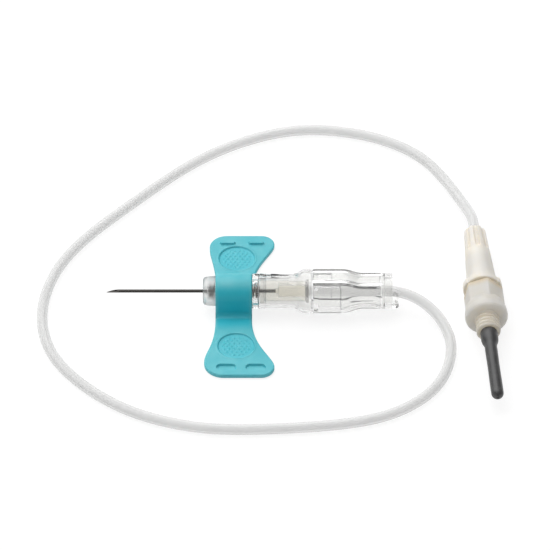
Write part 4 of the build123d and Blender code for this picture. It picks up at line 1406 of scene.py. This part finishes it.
class NEEDLESET_OT_stage(bpy.types.Operator):
    """Lay the floor and set the camera, lamps and sky"""

    bl_idname = "needle_set.stage"
    bl_label = "Stage"

    def execute(self, context):
        stage = context.scene.needle_set_stage
        self.floor(stage.floor_size, context.scene.needle_set_colours.floor)
        self.camera(stage)
        self.lamp("back_lamp", stage.back_power, *BACK_LAMP)
        self.lamp("top_lamp", stage.top_power, *TOP_LAMP)
        self.sky(stage.sky_strength)
        context.scene.view_settings.view_transform = "Standard"
        return {"FINISHED"}

    def floor(self, size, colour):
        """A flat floor that glows near white to the camera and to metal and glass, and keeps the shadow."""
        half = size / 2 / MM
        side = np.array((-half, half))
        grid = np.stack(np.broadcast_arrays(side[:, None], side, -FLOOR_DROP), axis=-1)
        floor = add_piece("floor", grid.reshape(-1, 3), grid_faces(2, 2, False, False))
        finish = Finish("floor_white", {"Base Color": colour, "Roughness": 0.9, "Specular IOR Level": 0.0})
        through = finish.ray("Glossy").larger(finish.ray("Transmission"))
        glow = finish.node("ShaderNodeEmission", {}, {"Color": WHITE, "Strength": FLOOR_GLOW})
        blend = finish.node("ShaderNodeMixShader", {}, {
            0: finish.ray("Camera") * FLOOR_SEEN_SHARE + through * FLOOR_GLASS_SHARE,
            1: Wire(finish, finish.shader.outputs[0]), 2: glow})
        finish.fill(finish.tree.nodes["Material Output"].inputs["Surface"], blend)
        floor.data.materials.append(finish.material)

    def camera(self, stage):
        """A long lens at the photograph's angle: target + distance (0, -cos e, sin e)."""
        lens = bpy.data.cameras.new("camera")
        lens.lens = stage.camera_lens
        lens.sensor_width = SENSOR_WIDTH
        lens.clip_end = 20.0
        camera = add_object("camera", lens)
        tilt = stage.camera_elevation
        back = Vector((0.0, -cos(tilt), sin(tilt)))
        camera.location = Vector(CAMERA_TARGET) * MM + back * stage.camera_distance
        camera.rotation_euler = (pi / 2 - tilt, 0.0, 0.0)
        bpy.context.scene.camera = camera

    def lamp(self, name, power, size, place):
        """A square soft lamp that faces the set."""
        light = bpy.data.lights.new(name, "AREA")
        light.energy = power
        light.size = size
        lamp = add_object(name, light)
        lamp.location = place
        lamp.rotation_euler = (-Vector(place)).to_track_quat("-Z", "Y").to_euler()

    def sky(self, strength):
        """A white sky at the given strength, brighter through glass and plain white to the camera."""
        world = bpy.data.worlds.new("studio")
        bpy.context.scene.world = world
        world.use_nodes = True
        nodes = Nodes(world.node_tree)
        back = nodes.tree.nodes["Background"]
        nodes.fill(back.inputs["Color"], WHITE)
        level = strength + nodes.ray("Camera") * (1.0 - strength)
        nodes.fill(back.inputs["Strength"], level + nodes.ray("Transmission") * (GLASS_SKY - strength))


class NEEDLESET_PT_panel(bpy.types.Panel):
    """Lists the pieces and their settings"""

    bl_idname = "NEEDLESET_PT_panel"
    bl_label = "Needle Set"
    bl_space_type = "VIEW_3D"
    bl_region_type = "UI"
    bl_category = "Needle Set"

    def draw(self, context):
        column = self.layout.column()
        for operator in OPERATORS:
            column.operator(operator.bl_idname)
        for name in GROUPS:
            settings = getattr(context.scene, name)
            box = self.layout.box()
            for setting in settings.__annotations__:
                box.prop(settings, setting)


OPERATORS = (
    NEEDLESET_OT_stage, NEEDLESET_OT_luer, NEEDLESET_OT_hub, NEEDLESET_OT_sleeve, NEEDLESET_OT_tube,
    NEEDLESET_OT_cannula, NEEDLESET_OT_carrier, NEEDLESET_OT_spring, NEEDLESET_OT_housing,
    NEEDLESET_OT_levers, NEEDLESET_OT_saddle, NEEDLESET_OT_wings,
)
GROUPS = {
    "needle_set_sizes": NeedleSetSizes,
    "needle_set_colours": NeedleSetColours,
    "needle_set_stage": NeedleSetStage,
}
CLASSES = (*GROUPS.values(), *OPERATORS, NEEDLESET_PT_panel)


def register():
    """Add the classes and their settings to Blender."""
    for each in CLASSES:
        bpy.utils.register_class(each)
    for name, group in GROUPS.items():
        setattr(bpy.types.Scene, name, PointerProperty(type=group))


def unregister():
    """Take the settings and the classes out again."""
    for name in GROUPS:
        delattr(bpy.types.Scene, name)
    for each in reversed(CLASSES):
        bpy.utils.unregister_class(each)


def main():
    """Register, and draw the stage and every piece."""
    register()
    for operator in OPERATORS:
        getattr(bpy.ops.needle_set, operator.bl_idname.split(".")[1])()


if __name__ == "__main__":
    main()
